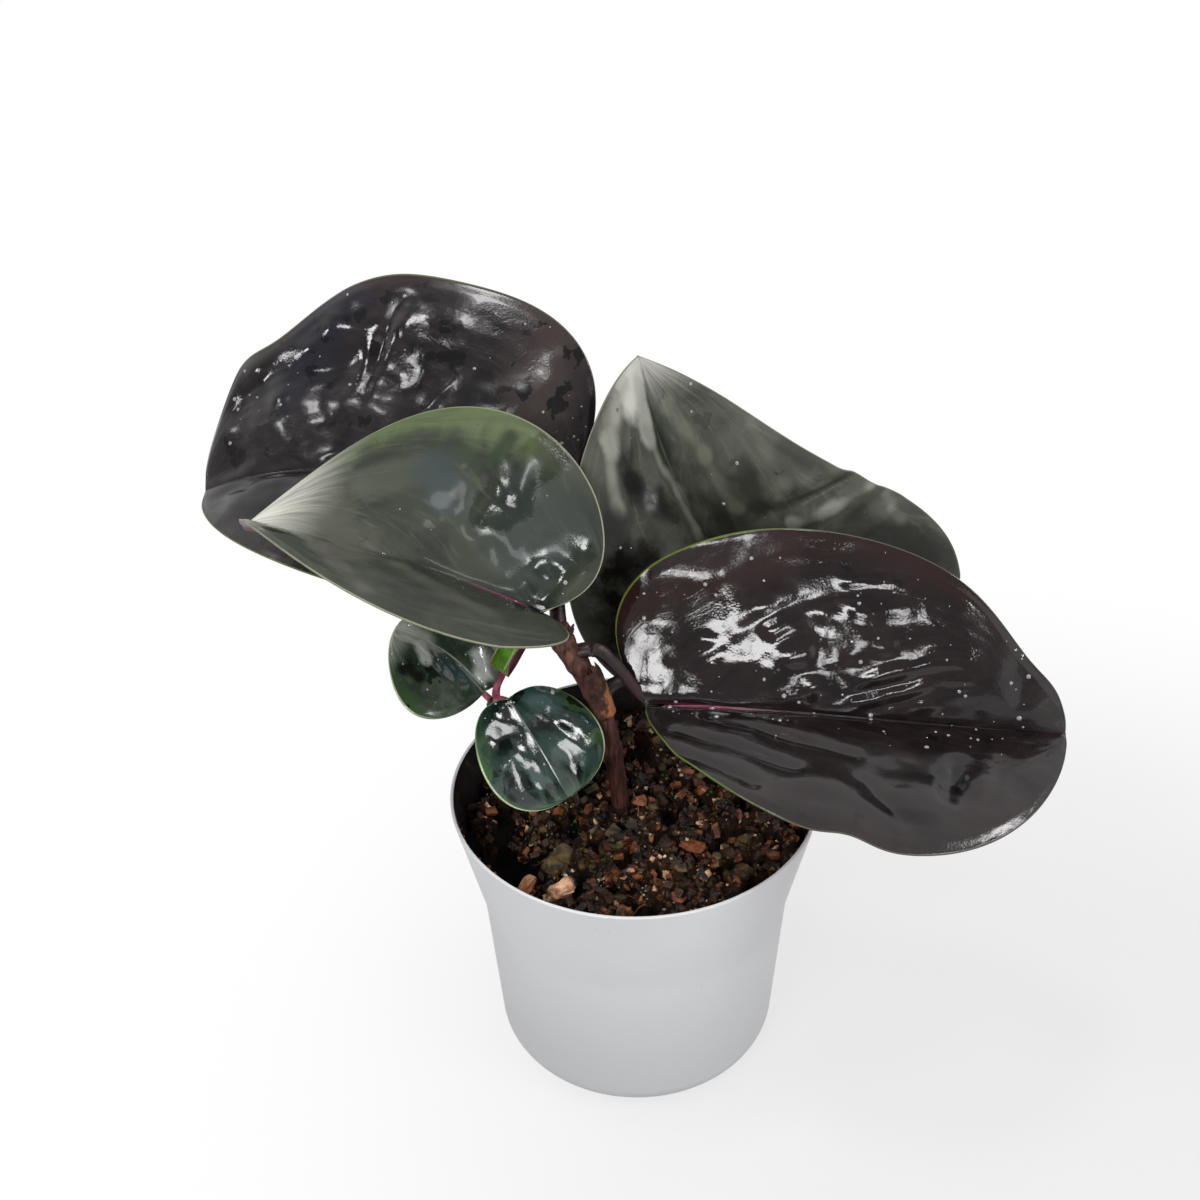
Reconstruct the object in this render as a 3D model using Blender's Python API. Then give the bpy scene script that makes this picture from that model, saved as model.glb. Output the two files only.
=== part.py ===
"""Potted geogenanthus: a white nursery pot of soil with a short leafy stem and a side shoot.

The origin is the centre of the pot's base, on the surface the pot stands on. Sizes are written
in millimetres and scaled to metres where geometry is made.
"""
import math

import bmesh
import bpy
from mathutils import Matrix, Vector

MM = 0.001

# Pot
RIM_RADIUS = 45.0
POT_HEIGHT = 76.0
SHOULDER_RADIUS = 38.2
SHOULDER_HEIGHT = 45.5
FOOT_RADIUS = 35.4
FOOT_ROUNDING = 7.4
POT_WALL = 0.9
POT_SEGMENTS = 48
DRAIN_HOLES = 6
DRAIN_RADIUS = 3.0
DRAIN_RING = 19.0

# Clearance between two pieces that touch
GAP = 0.3

# Soil
SOIL_LEVEL = 67.0
SOIL_RINGS = 12
SOIL_TILT = 0.05
SOIL_HOLLOW_DEPTH = 6.0
SOIL_HOLLOW_SPREAD = 9.0
SOIL_HOLLOW_PLACE = (-31.0, -15.0)

# Stems: points along the axis, then the radius at the foot and at the top
STEM_ROUTE = [(-2.0, 3.0, 54.0), (-3.5, 4.0, 68.0), (-5.0, 4.5, 82.0), (-7.5, 5.0, 96.0),
              (-11.5, 5.0, 107.0), (-16.0, 5.0, 116.0), (-18.0, 5.5, 121.0)]
STEM_RADII = (1.9, 2.9)
SHOOT_ROUTE = [(-25.5, 9.0, 56.0), (-27.5, 8.0, 68.0), (-30.0, 6.5, 82.0), (-32.0, 5.5, 93.0),
               (-33.0, 5.0, 100.0)]
SHOOT_RADII = (2.0, 1.9)
STEM_STEPS = 4
TUBE_RESOLUTION = 3

# Leaves
BLADE_THICKNESS = 1.0
SMALL_BLADE_THICKNESS = 0.8
PETIOLE_RADII = (2.0, 1.3)
SMALL_PETIOLE_RADII = (1.1, 0.7)
PETIOLE_SINK = 0.6
BLADE_STEPS = (20, 18)
SMALL_BLADE_STEPS = (14, 12)

# A leaf is set by where its blade starts and ends, the roll of the blade about that line, how its
# midrib arches, bows and twists, and, for its left and right halves, the angle at the midrib, the
# curl out to the margin, the width and the basal lobe. Dents push the margin in or out.
LEAVES = {
    "leaf_front_left": {
        "base": (-21.0, 2.5, 127.0), "tip": (-92.0, 29.0, 135.0), "roll": -4.0,
        "arch": 0.04, "skew": 0.14, "bow": 0.0, "twist": -18.0,
        "fold": (25.0, 29.0), "curl": (-24.0, 24.0), "width": (40.0, 45.0),
        "egg": -0.58, "lobe": (0.43, 0.37), "point": 0.78, "dents": (),
        "petiole": [(-17.0, 5.0, 117.5), (-19.5, 3.0, 122.0)],
    },
    "leaf_back_left": {
        "base": (-16.5, 50.0, 126.5), "tip": (-112.0, 78.0, 116.0), "roll": 15.5,
        "arch": 0.11, "skew": 0.12, "bow": 0.01, "twist": 0.0,
        "fold": (0.0, 36.5), "curl": (-20.0, -12.0), "width": (36.0, 50.5),
        "egg": 0.11, "lobe": (0.21, 0.17), "point": 0.21,
        "dents": (("right", 0.78, 0.22, 0.06), ("right", 0.58, 0.12, 0.1), ("left", 0.94, 0.09, 0.05)),
        "petiole": [(-17.0, 5.0, 118.5), (-18.0, 17.0, 126.0), (-19.0, 35.0, 128.0)],
    },
    "leaf_back_right": {
        "base": (35.2, 47.6, 100.4), "tip": (3.5, 71.0, 157.0), "roll": 42.4,
        "arch": 0.16, "skew": 0.63, "bow": 0.11, "twist": -30.0,
        "fold": (41.5, 62.5), "curl": (-94.0, -51.0), "width": (46.8, 50.8),
        "egg": -0.36, "lobe": (0.37, 0.85), "point": 1.3, "dents": (("right", 0.26, 0.06, 0.05),),
        "petiole": [(-8.8, 5.0, 99.5), (-4.0, 12.0, 98.5), (6.0, 18.5, 97.0), (20.0, 25.0, 96.0),
                    (33.0, 32.5, 95.0), (39.5, 41.0, 94.3)],
    },
    "leaf_front_right": {
        "base": (3.0, 0.5, 101.0), "tip": (99.5, -11.5, 99.0), "roll": -12.5,
        "arch": 0.04, "skew": -0.34, "bow": -0.03, "twist": -17.5,
        "fold": (47.0, 28.0), "curl": (-18.0, -14.0), "width": (43.0, 44.0),
        "egg": -0.19, "lobe": (0.31, -0.08), "point": 0.36,
        "dents": (("right", 0.46, -0.06, 0.04), ("left", 0.81, -0.19, 0.08)),
        "petiole": [(-14.5, 5.0, 113.0), (-8.5, 5.0, 114.0), (-3.5, 4.0, 109.5)],
    },
    "small_leaf_left": {
        "base": (-35.5, 8.0, 100.5), "tip": (-56.5, 17.5, 113.0), "roll": 2.0,
        "arch": 0.08, "skew": 0.0, "bow": -0.03, "twist": 2.0,
        "fold": (4.0, 10.0), "curl": (-17.0, -15.0), "width": (20.0, 13.0),
        "egg": 0.06, "lobe": (0.12, 0.2), "point": 0.08, "dents": (),
        "petiole": [(-32.2, 5.3, 95.0), (-34.0, 7.0, 98.0)],
    },
    "small_leaf_front": {
        "base": (-29.5, 0.0, 104.0), "tip": (-16.0, -15.0, 86.0), "roll": -2.0,
        "arch": 0.04, "skew": 0.0, "bow": -0.01, "twist": -3.5,
        "fold": (7.0, 5.0), "curl": (-15.0, -15.0), "width": (17.0, 15.5),
        "egg": -0.12, "lobe": (0.13, 0.18), "point": -0.15, "dents": (),
        "petiole": [(-32.8, 5.2, 98.0), (-32.0, 2.5, 102.0)],
    },
    "young_leaf": {
        "base": (-31.0, 9.5, 104.5), "tip": (-22.0, 16.0, 117.0), "roll": -25.0,
        "arch": 0.06, "skew": 0.0, "bow": 0.0, "twist": 0.0,
        "fold": (10.0, 10.0), "curl": (110.0, 120.0), "width": (6.5, 6.5),
        "egg": 0.1, "lobe": (0.0, 0.0), "point": 0.6, "dents": (),
        "petiole": [(-32.8, 5.6, 98.5), (-32.6, 7.8, 101.5)],
    },
}
SMALL_LEAVES = ("small_leaf_left", "small_leaf_front", "young_leaf")

# Dry sheaths left on the stems: stem, stretch along its route, turn about it, angle covered, flare
SHEATHS = {
    "sheath_stem": ("main_stem", (0.49, 0.70), -45.0, 130.0, 0.9),
    "sheath_crown": ("main_stem", (0.90, 0.99), -60.0, 150.0, 1.0),
    "sheath_shoot": ("side_shoot", (0.62, 0.84), 200.0, 160.0, 0.8),
}
SHEATH_THICKNESS = 0.4

# Bark chips bedded in the soil: centre (x, y), size (x, y, z), turn
CHIPS = {
    "bark_chip_1": ((-18.5, -26.0), (6.5, 4.5, 7.0), 20.0),
    "bark_chip_2": ((-19.0, -14.0), (8.0, 6.0, 6.5), 60.0),
    "bark_chip_3": ((-26.5, -19.5), (3.5, 6.0, 4.5), -35.0),
    "bark_chip_4": ((-4.0, -36.0), (6.0, 4.0, 4.0), 75.0),
    "bark_chip_5": ((8.0, -29.0), (7.5, 4.0, 4.0), -20.0),
    "bark_chip_6": ((24.0, -24.0), (6.5, 4.5, 4.0), 35.0),
    "bark_chip_7": ((14.0, -13.0), (7.0, 4.5, 4.5), -50.0),
    "bark_chip_8": ((-6.0, -12.0), (6.0, 5.0, 4.5), 10.0),
}
CHIP_PROUD = 0.35

COLORS = {
    "pot": ((0.62, 0.62, 0.64), 0.45),
    "soil": ((0.035, 0.02, 0.012), 0.9),
    "stem": ((0.09, 0.035, 0.03), 0.55),
    "sheath": ((0.38, 0.14, 0.06), 0.75),
    "bark": ((0.22, 0.1, 0.05), 0.85),
    "grey_leaf": ((0.06, 0.08, 0.055), 0.35),
    "dark_leaf": ((0.022, 0.014, 0.018), 0.18),
    "teal_leaf": ((0.02, 0.05, 0.04), 0.2),
    "young_leaf": ((0.12, 0.3, 0.03), 0.3),
}


def clear_scene():
    for thing in list(bpy.data.objects):
        bpy.data.objects.remove(thing, do_unlink=True)


def material(name):
    """A Principled material with the colour and roughness listed for this finish."""
    found = bpy.data.materials.get(name)
    if found:
        return found
    color, roughness = COLORS[name]
    made = bpy.data.materials.new(name)
    made.use_nodes = True
    shader = made.node_tree.nodes["Principled BSDF"]
    shader.inputs["Base Color"].default_value = (*color, 1.0)
    shader.inputs["Roughness"].default_value = roughness
    shader.inputs["Metallic"].default_value = 0.0
    made.diffuse_color = (*color, 1.0)
    return made


def add_object(name, mesh, finish, smooth=True):
    """Put a mesh in the scene as a named piece."""
    thing = bpy.data.objects.new(name, mesh)
    bpy.context.collection.objects.link(thing)
    mesh.materials.clear()
    mesh.materials.append(material(finish))
    if smooth:
        mesh.shade_smooth()
        mesh.set_sharp_from_angle(angle=math.radians(40.0))
    return thing


def mesh_from(bm, name):
    bmesh.ops.remove_doubles(bm, verts=bm.verts, dist=0.02 * MM)
    bmesh.ops.dissolve_degenerate(bm, edges=bm.edges, dist=0.02 * MM)
    bmesh.ops.recalc_face_normals(bm, faces=bm.faces)
    mesh = bpy.data.meshes.new(name)
    bm.to_mesh(mesh)
    bm.free()
    return mesh


def as_cutter(thing):
    thing.hide_render = True
    thing.display_type = "WIRE"
    return thing


def boolean(thing, other, operation):
    made = thing.modifiers.new(operation.lower(), "BOOLEAN")
    made.operation = operation
    made.solver = "EXACT"
    made.object = other


def smooth_route(points, steps):
    """Points on a smooth curve that runs through the given ones."""
    points = [Vector(p) for p in points]
    ends = [2 * points[0] - points[1]] + points + [2 * points[-1] - points[-2]]
    route = []
    for i in range(1, len(ends) - 2):
        before, here, after, beyond = ends[i - 1:i + 3]
        for step in range(steps):
            t = step / steps
            route.append(0.5 * (2 * here + (after - before) * t
                                + (2 * before - 5 * here + 4 * after - beyond) * t * t
                                + (3 * here - before - 3 * after + beyond) * t ** 3))
    route.append(points[-1])
    return route


def tube_mesh(name, route, radii, grow=0.0):
    """A tapered, capped tube along a route, as a mesh."""
    curve = bpy.data.curves.new(name, "CURVE")
    curve.dimensions = "3D"
    curve.bevel_depth = MM
    curve.bevel_resolution = TUBE_RESOLUTION
    curve.use_fill_caps = True
    spline = curve.splines.new("POLY")
    spline.points.add(len(route) - 1)
    for i, point in enumerate(route):
        share = i / (len(route) - 1)
        spline.points[i].co = (*(point * MM), 1.0)
        spline.points[i].radius = radii[0] + (radii[1] - radii[0]) * share + grow
    carrier = bpy.data.objects.new(name, curve)
    bpy.context.collection.objects.link(carrier)
    mesh = bpy.data.meshes.new_from_object(carrier.evaluated_get(bpy.context.evaluated_depsgraph_get()))
    bpy.data.objects.remove(carrier, do_unlink=True)
    bm = bmesh.new()
    bm.from_mesh(mesh)
    return mesh_from(bm, name)


def spin_profile(name, profile, segments):
    """Turn a profile of (radius, height) points about the Z axis."""
    bm = bmesh.new()
    verts = [bm.verts.new((radius * MM, 0.0, height * MM)) for radius, height in profile]
    edges = [bm.edges.new(pair) for pair in zip(verts, verts[1:])]
    bmesh.ops.spin(bm, geom=verts + edges, cent=(0, 0, 0), axis=(0, 0, 1), angle=2 * math.pi,
                   steps=segments, use_merge=True)
    return bm


def wall_profile(inset):
    """The pot's outside from its foot up to its rim, moved in by a distance."""
    points = []
    for step in range(5):
        angle = math.radians(90.0 * step / 4)
        points.append((FOOT_RADIUS - FOOT_ROUNDING + (FOOT_ROUNDING - inset) * math.sin(angle),
                       FOOT_ROUNDING - (FOOT_ROUNDING - inset) * math.cos(angle)))
    points.append((SHOULDER_RADIUS - 0.15 - inset, SHOULDER_HEIGHT - 2.0))
    points.append((SHOULDER_RADIUS + 0.2 - inset, SHOULDER_HEIGHT + 1.5))
    points.append((RIM_RADIUS - inset, POT_HEIGHT))
    return points


def wall_radius(inset, height):
    """Radius of the pot's wall at a height, moved in by a distance."""
    points = wall_profile(inset)
    for (low_radius, low), (high_radius, high) in zip(points, points[1:]):
        if low <= height <= high:
            return low_radius + (high_radius - low_radius) * (height - low) / (high - low)
    return points[-1][0]


def make_pot():
    outside = wall_profile(0.0)
    inside = wall_profile(POT_WALL)
    profile = [(0.0, 0.0)] + outside + inside[::-1] + [(0.0, POT_WALL)]
    pot = add_object("pot", mesh_from(spin_profile("pot", profile, POT_SEGMENTS), "pot"), "pot")
    bm = bmesh.new()
    for i in range(DRAIN_HOLES):
        turn = Matrix.Rotation(2 * math.pi * i / DRAIN_HOLES, 4, "Z")
        place = turn @ Matrix.Translation((DRAIN_RING * MM, 0.0, 0.0))
        bmesh.ops.create_cone(bm, cap_ends=True, segments=12, radius1=DRAIN_RADIUS * MM,
                              radius2=DRAIN_RADIUS * MM, depth=4.0 * MM, matrix=place)
    holes = as_cutter(add_object("drain_cutter", mesh_from(bm, "drain_cutter"), "pot"))
    boolean(pot, holes, "DIFFERENCE")


def soil_height(x, y):
    """Height of the soil's surface: a slight tilt, small lumps and a hollow at the front left."""
    lumps = 0.7 * math.sin(0.31 * x + 1.0) * math.cos(0.27 * y) + 0.5 * math.sin(0.52 * y - 0.4 * x)
    off = math.hypot(x - SOIL_HOLLOW_PLACE[0], y - SOIL_HOLLOW_PLACE[1]) / SOIL_HOLLOW_SPREAD
    return SOIL_LEVEL + SOIL_TILT * x + lumps - SOIL_HOLLOW_DEPTH * math.exp(-off * off)


def make_soil(cutters):
    inset = POT_WALL + GAP
    edge = wall_radius(inset, SOIL_LEVEL)
    side = [point for point in wall_profile(inset) if point[1] < SOIL_LEVEL - 12.0]
    top = [(edge * (1.0 - i / SOIL_RINGS), SOIL_LEVEL) for i in range(SOIL_RINGS + 1)]
    bm = spin_profile("soil", [(0.0, inset)] + side + top, POT_SEGMENTS)
    for vert in bm.verts:
        if vert.co.z / MM < SOIL_LEVEL - 0.01:
            continue
        height = soil_height(vert.co.x / MM, vert.co.y / MM)
        reach = math.hypot(vert.co.x, vert.co.y) / MM
        if reach > edge - 0.01:
            shrink = wall_radius(inset, height) / reach
            vert.co.x *= shrink
            vert.co.y *= shrink
        vert.co.z = height * MM
    soil = add_object("soil", mesh_from(bm, "soil"), "soil", smooth=False)
    for cutter in cutters:
        boolean(soil, cutter, "DIFFERENCE")


def stem_route(name):
    points = STEM_ROUTE if name == "main_stem" else SHOOT_ROUTE
    return smooth_route(points, STEM_STEPS)


def stem_radii(name):
    return STEM_RADII if name == "main_stem" else SHOOT_RADII


def make_stem(name):
    """A stem, and the slightly wider copy of it that clears its neighbours."""
    add_object(name, tube_mesh(name, stem_route(name), stem_radii(name)), "stem")
    wide = tube_mesh(name + "_clearance", stem_route(name), stem_radii(name), grow=GAP)
    return as_cutter(add_object(name + "_clearance", wide, "stem"))


def blade_frame(leaf):
    """Length and axes of a blade: along it, up out of its face, and to its left."""
    base, tip = Vector(leaf["base"]), Vector(leaf["tip"])
    along = (tip - base).normalized()
    up = (Vector((0, 0, 1)) - along * along.z).normalized()
    turn = Matrix.Rotation(-math.radians(leaf["roll"]), 3, along)
    up = turn @ up
    return base, (tip - base).length, along, up, up.cross(along)


def margin_shape(leaf, side, u):
    """Margin of one half at parameter u: share of the length, and distance from the midrib."""
    turn = math.pi * u
    peak = max(outline(leaf, math.pi * i / 90) for i in range(91))
    reach = leaf["width"][side] * outline(leaf, turn) / peak
    for dent_side, place, size, spread in leaf["dents"]:
        if dent_side == ("left", "right")[side]:
            reach *= 1.0 + size * math.exp(-((u - place) / spread) ** 2)
    share = (1 - math.cos(turn)) / 2 - leaf["lobe"][side] * math.sin(turn) * (1 + math.cos(turn)) / 2
    return share, reach


def outline(leaf, turn):
    return (math.sin(turn) * (1 + leaf["egg"] * math.cos(turn))
            * max(math.cos(turn / 2), 1e-9) ** leaf["point"])


def midrib(leaf, share):
    """Point of the midrib and its slope, as offsets along, up and to the left."""
    inside = min(max(share, 0.0), 1.0)
    skew = leaf["skew"]
    rise = leaf["arch"] * 4 * inside * (1 - inside) * (1 + skew * (2 * inside - 1))
    slope = leaf["arch"] * 4 * ((1 - 2 * inside) * (1 + skew * (2 * inside - 1))
                                + 2 * skew * inside * (1 - inside))
    bow = leaf["bow"] * 4 * inside * (1 - inside)
    bend = leaf["bow"] * 4 * (1 - 2 * inside)
    below = min(share, 0.0)
    return (share, rise + slope * below, bow + bend * below), (1.0, slope, bend)


def blade_point(leaf, u, v):
    """Point of a blade: u runs from its base to its tip, v from the right margin to the left."""
    base, length, along, up, left = blade_frame(leaf)
    side = 0 if v >= 0 else 1
    sign = 1 - 2 * side
    middle = (1 - math.cos(math.pi * u)) / 2
    share, reach = margin_shape(leaf, side, u)
    share = (1 - abs(v)) * middle + abs(v) * share
    (a, h, b), (da, dh, db) = midrib(leaf, share)
    centre = base + length * (a * along + h * up + b * left)
    forward = (da * along + dh * up + db * left).normalized()
    normal = (up - forward * up.dot(forward)).normalized()
    turn = Matrix.Rotation(-math.radians(leaf["twist"] * min(max(share, 0.0), 1.0)), 3, forward)
    normal = turn @ normal
    across = normal.cross(forward)
    fold = math.radians(leaf["fold"][side])
    curl = math.radians(leaf["curl"][side] or 0.1)
    radius = leaf["width"][side] / curl
    angle = fold + abs(v) * reach / radius
    out = radius * (math.sin(angle) - math.sin(fold))
    lift = -radius * (math.cos(angle) - math.cos(fold))
    return centre + sign * out * across + lift * normal


def blade_mesh(name, leaf, steps):
    """The blade as an open sheet, a grid whose two ends close to its base and its tip."""
    bm = bmesh.new()
    bmesh.ops.create_grid(bm, x_segments=steps[0], y_segments=steps[1], size=1.0)
    for vert in bm.verts:
        u, v = (vert.co.x + 1) / 2, vert.co.y
        vert.co = blade_point(leaf, u, v) * MM
    bmesh.ops.remove_doubles(bm, verts=bm.verts, dist=0.05 * MM)
    bmesh.ops.dissolve_degenerate(bm, edges=bm.edges, dist=0.05 * MM)
    mesh = bpy.data.meshes.new(name)
    bm.to_mesh(mesh)
    bm.free()
    return mesh


def make_leaf(name, finish, clearances):
    """A leaf: a thin solid blade with its petiole grown on, kept clear of the stems."""
    leaf = LEAVES[name]
    small = name in SMALL_LEAVES
    thickness = SMALL_BLADE_THICKNESS if small else BLADE_THICKNESS
    steps = SMALL_BLADE_STEPS if small else BLADE_STEPS
    blade = add_object(name, blade_mesh(name, leaf, steps), finish)
    thicken = blade.modifiers.new("thickness", "SOLIDIFY")
    thicken.thickness = thickness * MM
    thicken.offset = 0.0
    up = blade_frame(leaf)[3]
    join = blade_point(leaf, 0.0, 0.0) - up * PETIOLE_SINK
    end = blade_point(leaf, 0.22, 0.0) - up * PETIOLE_SINK
    route = smooth_route(leaf["petiole"] + [join, end], 4)
    radii = SMALL_PETIOLE_RADII if small else PETIOLE_RADII
    petiole = as_cutter(add_object(name + "_petiole", tube_mesh(name + "_petiole", route, radii), finish))
    boolean(blade, petiole, "UNION")
    for clearance in clearances:
        boolean(blade, clearance, "DIFFERENCE")


def make_sheath(name):
    """A dry sheath: a curved scale that wraps part of a stem and flares at its top."""
    stem, (low, high), turn, angle, flare = SHEATHS[name]
    route = stem_route(stem)
    radii = stem_radii(stem)
    bm = bmesh.new()
    bmesh.ops.create_grid(bm, x_segments=8, y_segments=6, size=1.0)
    for vert in bm.verts:
        share = (vert.co.y + 1) / 2
        place = (low + (high - low) * share) * (len(route) - 1)
        i = min(int(place), len(route) - 2)
        centre = route[i].lerp(route[i + 1], place - i)
        axis = (route[i + 1] - route[i]).normalized()
        narrow = 1.0 - 0.55 * share * share
        around = math.radians(turn + vert.co.x * angle / 2 * narrow)
        outward = Matrix.Rotation(around, 3, axis) @ (Vector((1, 0, 0)) - axis * axis.x).normalized()
        radius = radii[0] + (radii[1] - radii[0]) * place / (len(route) - 1)
        vert.co = (centre + outward * (radius + 1.5 * GAP + flare * share * share)) * MM
    mesh = bpy.data.meshes.new(name)
    bm.to_mesh(mesh)
    bm.free()
    sheath = add_object(name, mesh, "sheath")
    thicken = sheath.modifiers.new("thickness", "SOLIDIFY")
    thicken.thickness = SHEATH_THICKNESS * MM
    thicken.offset = 1.0


def chip_mesh(name, size, grow):
    """A bark chip: a block with cut corners and uneven faces."""
    bm = bmesh.new()
    scale = Matrix.Diagonal([(extent + 2 * grow) * MM for extent in size] + [1.0])
    bmesh.ops.create_cube(bm, size=1.0, matrix=scale)
    bmesh.ops.bevel(bm, geom=bm.edges, offset=0.16 * min(size) * MM, segments=1, profile=0.5,
                    affect="EDGES", material=-1)
    bmesh.ops.transform(bm, verts=bm.verts, matrix=Matrix.Shear("XY", 4, (0.18, -0.12)))
    return mesh_from(bm, name)


def make_chip(name):
    """A bark chip, and the slightly larger copy of it that beds it in the soil."""
    (x, y), size, turn = CHIPS[name]
    height = soil_height(x, y) + size[2] * (CHIP_PROUD - 0.5)
    made = []
    for label, grow in ((name, 0.0), (name + "_bed", GAP)):
        chip = add_object(label, chip_mesh(label, size, grow), "bark", smooth=False)
        chip.location = (x * MM, y * MM, height * MM)
        chip.rotation_euler = (math.radians(12.0), math.radians(-8.0), math.radians(turn))
        made.append(chip)
    return as_cutter(made[1])


def main():
    clear_scene()
    stem = make_stem("main_stem")
    shoot = make_stem("side_shoot")
    beds = [make_chip(name) for name in CHIPS]
    make_pot()
    make_soil([stem, shoot] + beds)
    make_leaf("leaf_front_left", "grey_leaf", [stem])
    make_leaf("leaf_back_left", "dark_leaf", [stem])
    make_leaf("leaf_back_right", "grey_leaf", [stem])
    make_leaf("leaf_front_right", "dark_leaf", [stem])
    make_leaf("small_leaf_left", "teal_leaf", [shoot])
    make_leaf("small_leaf_front", "teal_leaf", [shoot])
    make_leaf("young_leaf", "young_leaf", [shoot])
    for name in SHEATHS:
        make_sheath(name)


main()
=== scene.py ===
"""Potted geogenanthus: the looks built around its CAD frame.

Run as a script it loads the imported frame, builds every piece with its finish, and sets the stage.
Lengths inside the script are in millimetres and are scaled to metres where a mesh is made.
"""
import math
import random

import bmesh
import bpy
from bpy.props import FloatProperty, FloatVectorProperty, IntProperty, PointerProperty
from mathutils import Matrix, Vector, noise


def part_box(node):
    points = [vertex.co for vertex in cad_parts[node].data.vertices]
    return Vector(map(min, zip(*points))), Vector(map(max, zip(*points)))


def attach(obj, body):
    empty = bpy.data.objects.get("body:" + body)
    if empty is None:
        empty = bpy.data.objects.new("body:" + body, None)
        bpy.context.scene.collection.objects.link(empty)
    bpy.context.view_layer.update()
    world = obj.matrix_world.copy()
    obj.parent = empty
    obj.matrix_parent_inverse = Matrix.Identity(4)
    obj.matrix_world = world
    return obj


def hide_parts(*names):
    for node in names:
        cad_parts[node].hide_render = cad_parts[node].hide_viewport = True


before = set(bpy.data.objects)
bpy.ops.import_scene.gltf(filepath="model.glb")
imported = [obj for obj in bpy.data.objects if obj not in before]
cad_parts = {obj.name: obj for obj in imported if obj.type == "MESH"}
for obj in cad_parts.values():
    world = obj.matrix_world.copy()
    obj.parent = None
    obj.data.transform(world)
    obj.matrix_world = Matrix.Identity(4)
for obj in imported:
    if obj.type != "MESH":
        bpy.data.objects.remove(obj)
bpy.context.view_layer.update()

bl_info = {
    "name": "Potted geogenanthus",
    "version": (1, 0, 0),
    "blender": (4, 5, 0),
    "location": "3D View > Sidebar > Geogenanthus",
    "description": "Builds the pot, soil, stems and leaves of a potted geogenanthus on its CAD frame",
    "category": "Add Mesh",
}

MM = 0.001

pot_low, pot_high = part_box("pot")
RIM_RADIUS = (pot_high.x - pot_low.x) / 2 / MM
POT_HEIGHT = pot_high.z / MM

# Pot wall, as in the frame
SHOULDER_RADIUS = 38.2
SHOULDER_HEIGHT = 45.5
FOOT_RADIUS = 35.4
FOOT_ROUNDING = 7.4
DRAIN_HOLES = 6
DRAIN_RADIUS = 3.0
DRAIN_RING = 19.0

# Soil, as in the frame
SOIL_LEVEL = 67.0
SOIL_TILT = 0.05
SOIL_HOLLOW_DEPTH = 6.0
SOIL_HOLLOW_SPREAD = 9.0
SOIL_HOLLOW_PLACE = (-31.0, -15.0)

# Stems, as in the frame
ROUTES = {
    "main_stem": [(-2, 3, 54), (-3.5, 4, 68), (-5, 4.5, 82), (-7.5, 5, 96), (-11.5, 5, 107), (-16, 5, 116),
                  (-18, 5.5, 121)],
    "side_shoot": [(-25.5, 9, 56), (-27.5, 8, 68), (-30, 6.5, 82), (-32, 5.5, 93), (-33, 5, 100)],
}
STEM_RADII = {"main_stem": (1.9, 2.9), "side_shoot": (2, 1.9)}
STEM_NODES = {"main_stem": (0.36, 0.58, 0.72, 0.84, 0.95), "side_shoot": (0.4, 0.66, 0.86, 0.97)}

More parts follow.
